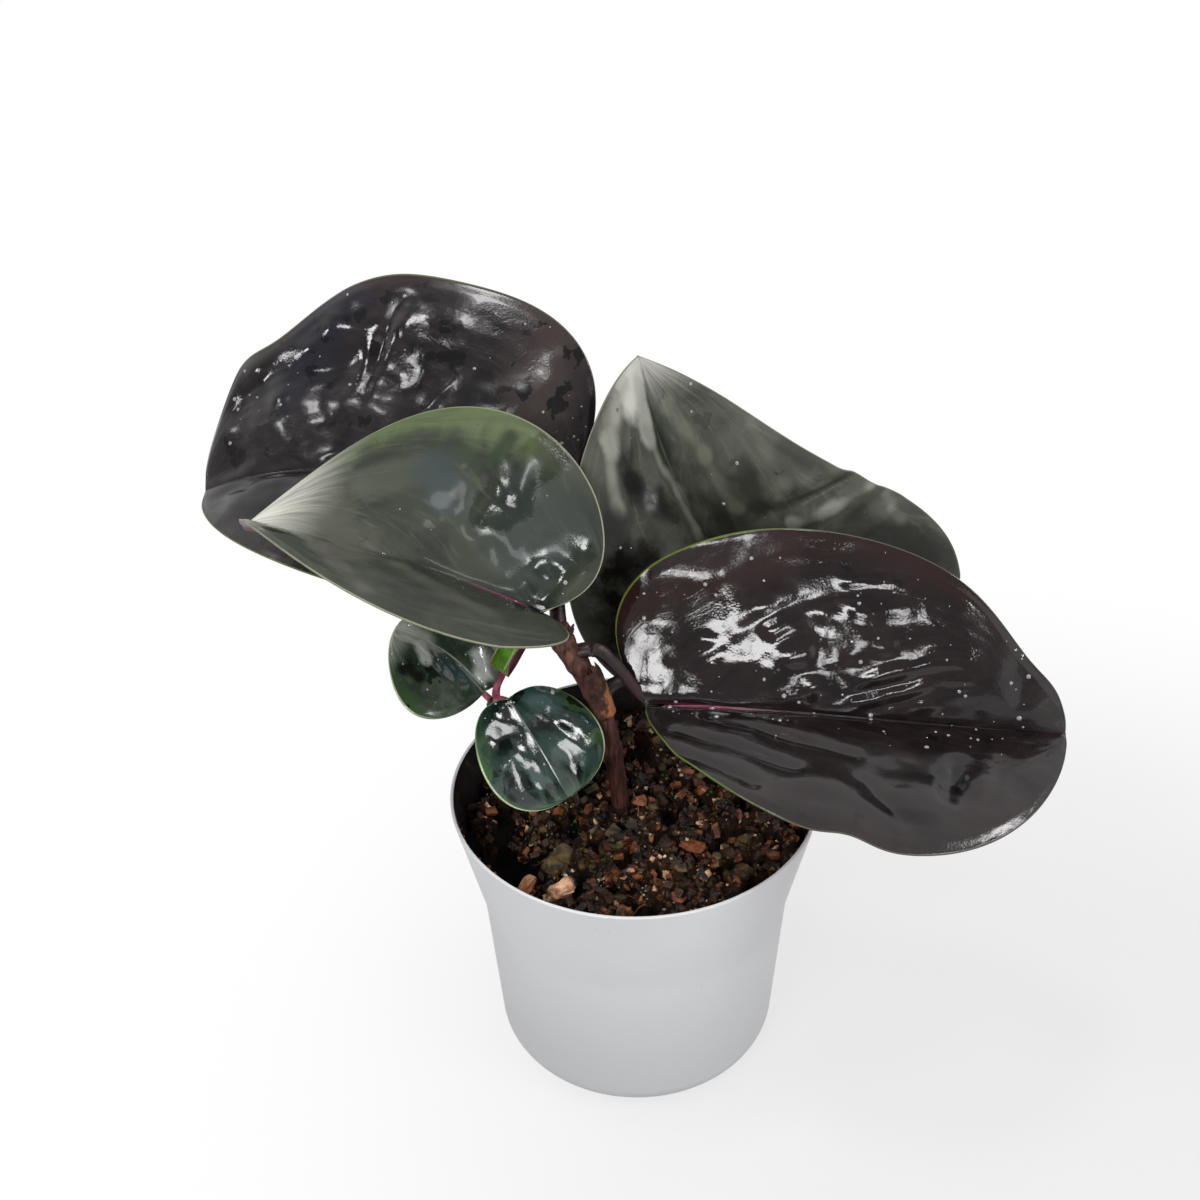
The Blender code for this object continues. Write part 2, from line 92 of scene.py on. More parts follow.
# Leaves, as in the frame. Every pair is for the left and the right half.
# base, tip: ends of the midrib; roll, twist: turn about it, at its base and added up to its tip
# arch, skew, bow: how far the midrib bends upwards, where along it, and how far it bends sideways
# fold, curl: how far each half is raised at the midrib, and bends on from there to its margin
# width, egg, lobe, point, dents: the outline
# petiole: the points that the stalk runs through
LEAVES = {
    "leaf_front_left": dict(
        base=(-21, 2.5, 127), tip=(-92, 29, 135), roll=-4, arch=0.04, skew=0.14, bow=0, twist=-18,
        fold=(25, 29), curl=(-24, 24), width=(40, 45), egg=-0.58, lobe=(0.43, 0.37), point=0.78, dents=(),
        petiole=[(-17, 5, 117.5), (-19.5, 3, 122)]),
    "leaf_back_left": dict(
        base=(-16.5, 50, 126.5), tip=(-112, 78, 116), roll=15.5, arch=0.11, skew=0.12, bow=0.01, twist=0,
        fold=(0, 36.5), curl=(-20, -12), width=(36, 50.5), egg=0.11, lobe=(0.21, 0.17), point=0.21,
        dents=(("right", 0.78, 0.22, 0.06), ("right", 0.58, 0.12, 0.1), ("left", 0.94, 0.09, 0.05)),
        petiole=[(-17, 5, 118.5), (-18, 17, 126), (-19, 35, 128)]),
    "leaf_back_right": dict(
        base=(35.2, 47.6, 100.4), tip=(3.5, 71, 157), roll=42.4, arch=0.16, skew=0.63, bow=0.11, twist=-30,
        fold=(41.5, 62.5), curl=(-94, -51), width=(46.8, 50.8), egg=-0.36, lobe=(0.37, 0.85), point=1.3,
        dents=(("right", 0.26, 0.06, 0.05),),
        petiole=[(-8.8, 5, 99.5), (-4, 12, 98.5), (6, 18.5, 97), (20, 25, 96), (33, 32.5, 95),
                 (39.5, 41, 94.3)]),
    "leaf_front_right": dict(
        base=(3, 0.5, 101), tip=(99.5, -11.5, 99), roll=-12.5, arch=0.04, skew=-0.34, bow=-0.03,
        twist=-17.5, fold=(47, 28), curl=(-18, -14), width=(43, 44), egg=-0.19, lobe=(0.31, -0.08),
        point=0.36, dents=(("right", 0.46, -0.06, 0.04), ("left", 0.81, -0.19, 0.08)),
        petiole=[(-14.5, 5, 113), (-8.5, 5, 114), (-3.5, 4, 109.5)]),
    "small_leaf_left": dict(
        base=(-35.5, 8, 100.5), tip=(-56.5, 17.5, 113), roll=2, arch=0.08, skew=0, bow=-0.03, twist=2,
        fold=(4, 10), curl=(-17, -15), width=(20, 13), egg=0.06, lobe=(0.12, 0.2), point=0.08, dents=(),
        petiole=[(-32.2, 5.3, 95), (-34, 7, 98)]),
    "small_leaf_front": dict(
        base=(-29.5, 0, 104), tip=(-16, -15, 86), roll=-2, arch=0.04, skew=0, bow=-0.01, twist=-3.5,
        fold=(7, 5), curl=(-15, -15), width=(17, 15.5), egg=-0.12, lobe=(0.13, 0.18), point=-0.15, dents=(),
        petiole=[(-32.8, 5.2, 98), (-32, 2.5, 102)]),
    "young_leaf": dict(
        base=(-31, 9.5, 104.5), tip=(-22, 16, 117), roll=-25, arch=0.06, skew=0, bow=0, twist=0,
        fold=(10, 10), curl=(110, 120), width=(6.5, 6.5), egg=0.1, lobe=(0, 0), point=0.6, dents=(),
        petiole=[(-32.8, 5.6, 98.5), (-32.6, 7.8, 101.5)]),
}

# How each blade is modelled in relief, in millimetres. Places on a blade are given as if it were
# pressed flat: along it from its base, and across it, with the left half positive.
# steps: facets along and across the blade
# lanes: stretches between the long veins of one half, as they leave the base and the midrib
# pillow: height of the lanes on the left and the right half
# domes: quilted patches along the lanes, with their height on each half and their length
# ripples: height and length of each size of ripple
# groove: depth of the groove over the midrib
# thickness: thickness of the blade away from its margin
# stalk: radius of the stalk where it starts and where it meets the blade
# seed: picks the blade's own pattern
# creases: start, end, depth and width, and a ridge where the depth is negative
# puckers: place along and across, size along and across, height
RELIEF = {
    "leaf_front_left": dict(
        steps=(170, 150), lanes=(4, 5), pillow=(0.07, 0.1), domes=(0, 0.07, 9),
        ripples=((0.7, 30), (0.16, 11)), groove=0.8, thickness=1, stalk=(2, 1.3), seed=3,
        creases=(((28.5, -30), (28.4, -12), 0.13, 1.7), ((17.3, -33), (16.3, -25), -0.55, 2),
                 ((23.5, -30.5), (20.5, -24), -0.55, 1.9), ((22.2, -21.5), (22.6, -14), -0.55, 2),
                 ((-2, -12), (0.5, -2.5), -0.6, 1.8), ((5.5, -11), (6.5, -4), -0.4, 1.5)),
        puckers=((5.1, -5.2, 3, 2.4, 0.7), (1.5, -12, 3, 2.6, 0.7), (35.5, -22.1, 7, 6, 0.8),
                 (-3, -17.4, 3, 3, 0.5))),
    "leaf_back_left": dict(
        steps=(180, 150), lanes=(5, 6), pillow=(0.08, 0.09), domes=(0.1, 0.15, 10),
        ripples=((1, 28), (0.3, 12)), groove=0.6, thickness=1, stalk=(2, 1.3), seed=11,
        creases=(((46.3, -45.9), (52.1, -20), 1, 1.8), ((30.8, -26.9), (38, -15), 0.8, 1.7),
                 ((16, -22), (27, -12), 0.5, 1.8)),
        puckers=((62, -37.5, 3.4, 5, 0.9), (58.1, -45.5, 3.4, 3.4, 0.6), (45.5, -36.5, 5.5, 7, 1.2),
                 (52, -26, 3.4, 5.5, 0.9), (57.5, -15.5, 3.6, 4.5, 0.7), (82.3, -28.5, 4, 3.5, 1),
                 (74.5, -19.5, 4, 4, 0.8), (66.9, -32, 3.5, 3, 0.7), (12, -30, 9, 9, 0.4))),
    "leaf_back_right": dict(
        steps=(150, 160), lanes=(4, 3), pillow=(0.06, 0.06), domes=(0, 0, 14),
        ripples=((1, 34), (0.25, 14)), groove=0.4, thickness=1, stalk=(2, 1.3), seed=19,
        creases=(((21.5, -46), (23.2, -17), 2.3, 2.6), ((15.5, -46), (17, -30), -1.4, 3),
                 ((26.5, -42), (27.5, -22), -0.9, 2.6), ((50.2, -2.3), (35.5, -5.8), -0.5, 2.4),
                 ((51.6, 19), (36, 22), -0.6, 2.6)),
        puckers=((41.5, 11.8, 6.5, 4.4, -1.6), (37.2, 11.5, 2.2, 2.6, 1.1), (47, 0.8, 5, 3, -0.5),
                 (33.9, -19.5, 7, 3.4, -0.5), (0, -42, 12, 8, 1.2))),
    "leaf_front_right": dict(
        steps=(200, 170), lanes=(2, 8), pillow=(0.5, 0.07), domes=(0, 0.04, 7),
        ripples=((0.5, 22), (0.06, 7)), groove=0.8, thickness=1, stalk=(2, 1.3), seed=27,
        creases=(((10, -13), (36, -23), 1.3, 1.9), ((16, -6), (48, -15), 1.1, 1.9),
                 ((6, -19), (28, -30), 0.9, 1.8), ((70.6, -14), (68, -24), 1.5, 3),
                 ((50, -24), (58, -34), 0.9, 2.4), ((80, -12), (76, -26), 0.6, 2.6)),
        puckers=((39, 7.2, 4, 2.4, 0.4), (62, -24, 6, 6, 1), (76, -20, 5, 6, 0.8), (13, 38, 12, 6, -1.4),
                 (45, 42, 18, 5, -1), (40.4, -26.7, 7, 4, 0.8), (31.7, -7.7, 12, 3, 0.5))),
    "small_leaf_left": dict(
        steps=(90, 80), lanes=(2, 4), pillow=(0.1, 0.1), domes=(0, 0, 8), ripples=((0.5, 16), (0.08, 6)),
        groove=0.35, thickness=0.8, stalk=(1.1, 0.7), seed=35, creases=(),
        puckers=((17, 5, 3, 2.6, 0.5), (9, 8, 3.5, 3, 0.6))),
    "small_leaf_front": dict(
        steps=(90, 84), lanes=(2, 2), pillow=(0.15, 0.15), domes=(0, 0, 9), ripples=((0.5, 12), (0.06, 5)),
        groove=0.22, thickness=0.8, stalk=(1.1, 0.7), seed=45,
        creases=(((9.5, 3), (12, 12), 0.5, 2.6), ((8.5, -3), (9, -10), 0.35, 2.6)),
        puckers=((17.5, -9, 4.2, 3.6, 0.5), (4.6, 6.5, 4, 3.5, 0.4), (18.5, 6.5, 4.4, 3.6, 0.5))),
    "young_leaf": dict(
        steps=(40, 24), lanes=(2, 0), pillow=(0.12, 0.12), domes=(0, 0, 5), ripples=((0.1, 8),), groove=0.2,
        thickness=0.8, stalk=(1.1, 0.7), seed=47, creases=(), puckers=()),
}

# Dry sheaths: stem, stretch along it, turn about it, angle covered, flare
SHEATHS = {
    "sheath_stem": ("main_stem", (0.49, 0.7), -45, 130, 0.9),
    "sheath_crown": ("main_stem", (0.9, 0.99), -60, 150, 1),
    "sheath_shoot": ("side_shoot", (0.62, 0.84), 200, 160, 0.8),
}

# Bark chips: centre (x, y), size (x, y, z), turn, finish
CHIPS = {
    "bark_chip_1": ((-18.5, -26), (6.5, 4.5, 7), 20, "tan_bark"),
    "bark_chip_2": ((-19, -14), (8, 6, 6.5), 60, "olive_bark"),
    "bark_chip_3": ((-26.5, -19.5), (3.5, 6, 4.5), -35, "orange_bark"),
    "bark_chip_4": ((-4, -36), (6, 4, 4), 75, "red_bark"),
    "bark_chip_5": ((8, -29), (7.5, 4, 4), -20, "red_bark"),
    "bark_chip_6": ((24, -24), (6.5, 4.5, 4), 35, "olive_bark"),
    "bark_chip_7": ((14, -13), (7, 4.5, 4.5), -50, "red_bark"),
    "bark_chip_8": ((-6, -12), (6, 5, 4.5), 10, "olive_bark"),
}
# Share of a chip's height that stands above the soil
CHIP_PROUD = 0.45

# Depth of the gaps between the clods of soil, in millimetres
GAP_DEPTH = 3.2
# Loose matter on the soil: count, smallest and largest size, flatness, how proud, finish, slot
GRAINS = {
    "soil_crumbs": (1150, 0.9, 3.6, 0.8, 0.4, "crumb", "soil"),
    "bark_crumbs": (520, 0.6, 3.6, 0.6, 0.45, "red_bark", "bark"),
    "tan_crumbs": (170, 0.5, 2.4, 0.6, 0.6, "tan_bark", "bark"),
    "olive_crumbs": (110, 1, 4.2, 0.65, 0.45, "olive_bark", "bark"),
    "perlite": (28, 0.6, 1.5, 0.85, 0.5, "perlite", "soil"),
    "sand_grains": (640, 0.3, 0.85, 0.9, 0.6, "sand", "soil"),
}


# ---------------------------------------------------------------- settings

def length(name, description, default):
    return FloatProperty(name=name, description=description, default=default, min=0.0, max=1.0,
                         unit="LENGTH", precision=5)


def colour(name, description, default):
    return FloatVectorProperty(name=name, description=description, default=default, size=3, min=0.0, max=1.0,
                               subtype="COLOR")


def power(name, lamp, default):
    return FloatProperty(name=name, description="Power of the " + lamp, default=default, min=0.0,
                         unit="POWER")


class PotSettings(bpy.types.PropertyGroup):
    wall: length("Wall", "Thickness of the pot's wall", 0.0009)
    lip: length("Lip", "Rounding of the lip's edge", 0.0003)
    segments: IntProperty(name="Segments", description="Facets round the pot", default=144, min=24, max=256)
    plastic: colour("Plastic", "Colour of the outside", (0.61, 0.615, 0.63))
    inside: colour("Inside", "Colour of the inner layer", (0.012, 0.011, 0.011))


class SoilSettings(bpy.types.PropertyGroup):
    lumps: length("Lumps", "Height of the soil's lumps", 0.0032)
    peat: colour("Peat", "Colour of the damp peat", (0.010, 0.0055, 0.0035))
    dry: colour("Dry peat", "Colour of the drier crests", (0.045, 0.020, 0.010))
    moss: colour("Moss", "Colour of the moss specks", (0.035, 0.075, 0.008))
    fibres: IntProperty(name="Fibres", description="Number of root fibres", default=34, min=0, max=200)


class StemSettings(bpy.types.PropertyGroup):
    bark: colour("Stem", "Colour of the stem's skin", (0.075, 0.028, 0.022))
    # The stalks' colour is set darker than their own dark red: painted shade, for stalks that stand in
    # shadow.
    stalk: colour("Leaf stalk", "Colour of the leaf stalks", (0.018, 0.006, 0.007))
    sheath: colour("Sheath", "Colour of the dry sheaths", (0.36, 0.125, 0.05))


class LeafSettings(bpy.types.PropertyGroup):
    edge: FloatProperty(name="Edge", description="Thickness at the margin, as a share of the blade's",
                        default=0.35, min=0.1, max=1.0, subtype="FACTOR")
    quilting: FloatProperty(name="Quilting", description="Strength of the relief between the veins",
                            default=1.0, min=0.0, max=2.0)
    droplet: length("Droplet", "Radius of the largest water droplet", 0.00060)
    underside: colour("Underside", "Colour of the blades from below", (0.075, 0.016, 0.030))


class StageSettings(bpy.types.PropertyGroup):
    floor: colour("Floor", "Colour of the floor", (0.50, 0.50, 0.50))
    world: FloatProperty(name="World", description="Strength of the even light all round",
                         default=0.39, min=0.0)
    window: power("Window", "light at the front left", 3.2)
    sill: power("Sill", "small low light in front", 0.8)
    high: power("High", "light overhead", 2.1)
    left: power("Left", "light at the left", 1.15)
    low_left: power("Low left", "small light low at the left", 0.8)
    right: power("Right", "light at the right", 2.5)
    behind: power("Behind", "small light at the back right", 1.9)
    front: power("Front", "broad soft light in front", 4.2)


class PlantSettings(bpy.types.PropertyGroup):
    pot: PointerProperty(type=PotSettings)
    soil: PointerProperty(type=SoilSettings)
    stem: PointerProperty(type=StemSettings)
    leaf: PointerProperty(type=LeafSettings)
    stage: PointerProperty(type=StageSettings)


# ---------------------------------------------------------------- finishes

class Nodes:
    """A node tree, with one short call for each kind of node that the script uses."""

    def __init__(self, tree):
        self.tree = tree

    def node(self, kind, inputs=None, **settings):
        made = self.tree.nodes.new("ShaderNode" + kind)
        for key, value in settings.items():
            setattr(made, key, value)
        for key, value in (inputs or {}).items():
            self.set(made.inputs[key], value)
        return made

    def set(self, socket, value):
        if isinstance(value, bpy.types.NodeSocket):
            self.tree.links.new(value, socket)
        elif socket.type == "RGBA" and len(value) == 3:
            socket.default_value = (*value, 1.0)
        else:
            socket.default_value = value

    def split(self, vector):
        return self.node("SeparateXYZ", {0: vector}).outputs

    def noise(self, scale, detail=3.0, rough=0.5, vector=None, distortion=0.0):
        return self.node("TexNoise", {"Vector": vector or self.position, "Scale": scale, "Detail": detail,
                                      "Roughness": rough, "Distortion": distortion}).outputs[0]

    def cells(self, scale, vector=None):
        found = self.node("TexVoronoi", {"Vector": vector or self.position, "Scale": scale})
        return found.outputs["Distance"]

    def stretch(self, vector, scale, place=(0.0, 0.0, 0.0)):
        return self.node("Mapping", {"Vector": vector, "Location": place, "Scale": scale}).outputs[0]

    def span(self, value, low, high, to_low=0.0, to_high=1.0, kind="SMOOTHSTEP"):
        return self.node("MapRange", {"Value": value, "From Min": low, "From Max": high, "To Min": to_low,
                                      "To Max": to_high}, interpolation_type=kind).outputs[0]

    def math(self, operation, first, second=0.0, clamp=False):
        return self.node("Math", {0: first, 1: second}, operation=operation, use_clamp=clamp).outputs[0]

    def plus(self, first, second):
        return self.math("ADD", first, second)

    def times(self, first, second):
        return self.math("MULTIPLY", first, second)

    def mix(self, factor, first, second):
        return self.node("Mix", {0: factor, 6: first, 7: second}, data_type="RGBA").outputs[2]

    def bump(self, height, distance, strength=1.0, under=None):
        inputs = {"Height": height, "Distance": distance, "Strength": strength}
        if under:
            inputs["Normal"] = under
        return self.node("Bump", inputs).outputs[0]


class Finish(Nodes):
    """A material and its nodes."""

    def __init__(self, name, ior, specular, **constants):
        self.material = bpy.data.materials.new(name)
        self.material.use_nodes = True
        super().__init__(self.material.node_tree)
        self.shader = self.tree.nodes["Principled BSDF"]
        for socket, value in {"IOR": ior, "Specular IOR Level": specular, **constants}.items():
            self.shader.inputs[socket.replace("_", " ")].default_value = value
        self.position = self.node("TexCoord").outputs["Object"]

    def attribute(self, name):
        vector = self.node("Attribute", attribute_name=name, attribute_type="GEOMETRY").outputs["Vector"]
        return [vector, *self.split(vector)]

    def close(self, color=None, rough=None, normal=None):
        """Join what was made to the shader."""
        for socket, value in (("Base Color", color), ("Roughness", rough), ("Normal", normal)):
            if value is not None:
                self.set(self.shader.inputs[socket], value)
        return self.material


def shade(tone, share):
    """A tone made darker or lighter."""
    return tuple(share * part for part in tone)


# Tones that lie over a finish: dust and specks on the pot, rust in the peat and painted shade in its
# gaps, flakes on the stems, lines on the stalks and fibres on the sheaths
SPECK_TONE = (0.16, 0.11, 0.08)
DUST_TONE = (0.05, 0.028, 0.016)
RUST_TONE = (0.20, 0.062, 0.022)
# Painted shade for the gaps in the peat
PAINTED_GAP_SHADE_TONE = (0.0020, 0.0014, 0.0010)
FLAKE_TONE = (0.19, 0.085, 0.045)
STALK_LINE_TONE = (0.06, 0.018, 0.018)
SHEATH_FIBRE_TONE = (0.50, 0.26, 0.13)


def plastic_finish(settings):
    """Cool white satin plastic with faint scuffs and dust, and painted shade darkening it towards the foot.
    """
    made = Finish("pot_plastic", 1.46, 0.45)
    base = settings.plastic
    cloudy = made.noise(22.0, 4.0, 0.6)
    height = made.split(made.position)[2]
    color = made.mix(made.span(cloudy, 0.35, 0.7, 0.0, 0.35), base, shade(base, 0.9))
    # Painted shade: the plastic turns darker towards the foot, standing in for the light falling off there.
    color = made.mix(made.span(height, 0.070, 0.0), color, shade(base, 0.78))
    specks = made.span(made.noise(900.0, 2.0, 0.6), 0.735, 0.78)
    dusty = made.times(specks, made.span(made.noise(60.0, 2.0), 0.45, 0.65))
    color = made.mix(made.times(dusty, 0.3), color, SPECK_TONE)
    scuffs = made.noise(14.0, 5.0, 0.7, made.stretch(made.position, (1.0, 1.0, 9.0)))
    foot = made.times(made.span(scuffs, 0.62, 0.7), made.span(height, 0.03, 0.0))
    color = made.mix(made.times(foot, 0.25), color, shade(base, 0.7))
    return made.close(color, made.span(cloudy, 0.2, 0.8, 0.38, 0.52),
                      made.bump(made.noise(700.0, 3.0, 0.6), 0.00004, 0.5))


def inner_plastic_finish(settings):
    """Black inner layer of the pot with soil dust on it."""
    made = Finish("pot_inner_layer", 1.46, 0.3)
    dust = made.span(made.noise(260.0, 5.0, 0.7), 0.52, 0.72)
    color = made.mix(made.times(dust, 0.6), settings.inside, DUST_TONE)
    return made.close(color, made.span(dust, 0.0, 1.0, 0.42, 0.8), made.bump(dust, 0.0001))


def peat_finish(settings):
    """Damp coarse peat, browner in places, with painted shade making it near black low down in the gaps and
    hollows.
    """
    made = Finish("peat", 1.4, 0.2)
    grain, patch = made.noise(420.0, 6.0, 0.72), made.noise(95.0, 3.0, 0.6)
    color = made.mix(made.span(grain, 0.42, 0.68), settings.peat, settings.dry)
    color = made.mix(made.span(patch, 0.55, 0.75, 0.0, 0.6), color, shade(settings.peat, 0.35))
    rusty = made.span(made.noise(700.0, 2.0, 0.5), 0.62, 0.70)
    color = made.mix(made.times(rusty, 0.8), color, RUST_TONE)
    height = made.split(made.position)[2]
    # Painted shade: below the soil's level the peat turns near black, down in the gaps and hollows.
    painted_gap_shade = made.span(height, (SOIL_LEVEL - GAP_DEPTH) * MM, SOIL_LEVEL * MM, 0.95, 0.0)
    return made.close(made.mix(painted_gap_shade, color, PAINTED_GAP_SHADE_TONE), made.span(patch, 0.4, 0.7, 0.9, 0.55),
                      made.bump(grain, 0.0009, 1.0))


def lump_finish(name, dark, light, rough=0.8, layers=1.0):
    """Finish for bark, crumbs and grit, each lump a little different from the next."""
    made = Finish(name, 1.45, 0.4)
    if layers > 1.0:
        body = made.noise(240.0, 3.0, 0.6, made.stretch(made.position, (1.0, 1.0, layers)))
    else:
        body = made.noise(300.0, 3.0, 0.6)
    grain = made.noise(1300.0, 4.0, 0.7)
    color = made.mix(made.span(body, 0.36, 0.64), dark, light)
    color = made.mix(made.span(grain, 0.55, 0.75, 0.0, 0.7), color, shade(dark, 0.35))
    return made.close(color, made.span(grain, 0.3, 0.7, rough - 0.15, rough + 0.1),
                      made.bump(grain, 0.0004, 0.9))


def stem_finish(settings):
    """Brown-maroon skin of the stems, with lengthwise fibres and rusty flakes."""
    made = Finish("stem_skin", 1.42, 0.4)
    base = settings.bark
    fibres = made.noise(900.0, 4.0, 0.65, made.stretch(made.position, (1.0, 1.0, 0.12)))
    flakes = made.noise(260.0, 3.0, 0.6, made.stretch(made.position, (1.0, 1.0, 0.45)))
    color = made.mix(made.span(fibres, 0.35, 0.68), shade(base, 0.45), shade(base, 1.5))
    color = made.mix(made.span(flakes, 0.6, 0.72, 0.0, 0.8), color, FLAKE_TONE)
    return made.close(color, made.span(fibres, 0.3, 0.7, 0.4, 0.65), made.bump(fibres, 0.0005, 0.8))


def stalk_finish(settings):
    """Dark red leaf stalks with fine lines, their colour darkened as painted shade."""
    made = Finish("leaf_stalk", 1.42, 0.5, Subsurface_Weight=0.05, Subsurface_Radius=(0.002, 0.0008, 0.0006))
    body, lines = made.noise(160.0, 3.0, 0.6), made.noise(1300.0, 2.0, 0.5)
    # The stalk colour carries painted shade: it is darker than the stalks' own red.
    base = settings.stalk
    color = made.mix(made.span(body, 0.35, 0.65), shade(base, 0.4), shade(base, 1.35))
    color = made.mix(made.span(lines, 0.6, 0.75, 0.0, 0.4), color, STALK_LINE_TONE)
    return made.close(color, made.span(body, 0.3, 0.7, 0.3, 0.45), made.bump(lines, 0.0002, 0.5))


# Where the sheaths turn from brown to orange, in metres towards the right, and their two browns
SHEATH_TURN = (-0.0072, -0.0050)
SHEATH_BROWNS = ((0.028, 0.013, 0.010), (0.085, 0.040, 0.030))


def sheath_finish(settings):
    """Papery orange-brown sheath with fibres running up it."""
    made = Finish("dry_sheath", 1.4, 0.25, Subsurface_Weight=0.1, Subsurface_Radius=(0.002, 0.001, 0.0005))
    fibres = made.noise(1500.0, 3.0, 0.6, made.stretch(made.position, (1.0, 1.0, 0.1)))
    blotch = made.noise(330.0, 3.0, 0.6)
    right = made.plus(made.split(made.position)[0], made.span(blotch, 0.3, 0.7, -0.0012, 0.0012))
    lit = made.span(right, *SHEATH_TURN)
    color = made.mix(made.span(blotch, 0.35, 0.65), *SHEATH_BROWNS)
    color = made.mix(lit, color, settings.sheath)
    fibrous = made.times(made.span(fibres, 0.55, 0.7, 0.1, 0.6), lit)
    return made.close(made.mix(fibrous, color, SHEATH_FIBRE_TONE), made.span(fibres, 0.3, 0.7, 0.5, 0.75),
                      made.bump(fibres, 0.0003, 0.8))


# Finish of the upper face of each blade. Strokes lie on the flat blade: start, end and width.
# body: dark tone, light tone, fineness of the mottling
# veins, streaks: tone, strength
# margin: tone near the base and beyond, width of the line at each
# band: wash inside the margin, with its tone, its width and its strength on the left and the right half
# rib: tone of the midrib, width, share of the blade that it reaches
# tip: tone, share of the blade where it starts. A pale tip tone is painted sheen.
# blots: tone, strength, share of the blade that they cover
# marks (and painted light): strokes, each with its tone and its strength. Besides stains and blots,
# some are painted sheen, painted highlights or painted shade, as said at each leaf.
# gloss: roughness where the blade is wet and where it is dry, coat, roughness of the coat
# wet: strokes where the blade is wet
# crinkle: strength of the foil-like crinkles and of the quilting in a grid
# SMALL_LEAF_TONES is what the two small leaves have in common.
SMALL_LEAF_TONES = dict(
    body=((0.01, 0.02, 0.014), (0.034, 0.054, 0.038), 150), veins=((0.06, 0.09, 0.07), 0.2),
    streaks=((0.06, 0.09, 0.066), 0.3), margin=((0.1, 0.17, 0.06), (0.36, 0.44, 0.26), 0.25, 0.45),
    band=((0.04, 0.085, 0.03), 3, 0.8, 0.8), rib=((0.24, 0.27, 0.25), 0.45, 1),
    tip=((0.05, 0.09, 0.05), 0.85), blots=((0.002, 0.005, 0.004), 0.9, 0.43), marks_and_painted_light=(),
    gloss=(0.12, 0.16, 0.75, 0.09), wet=(((5, 0), (20, 0), 30),), crinkle=(0.12, 0))
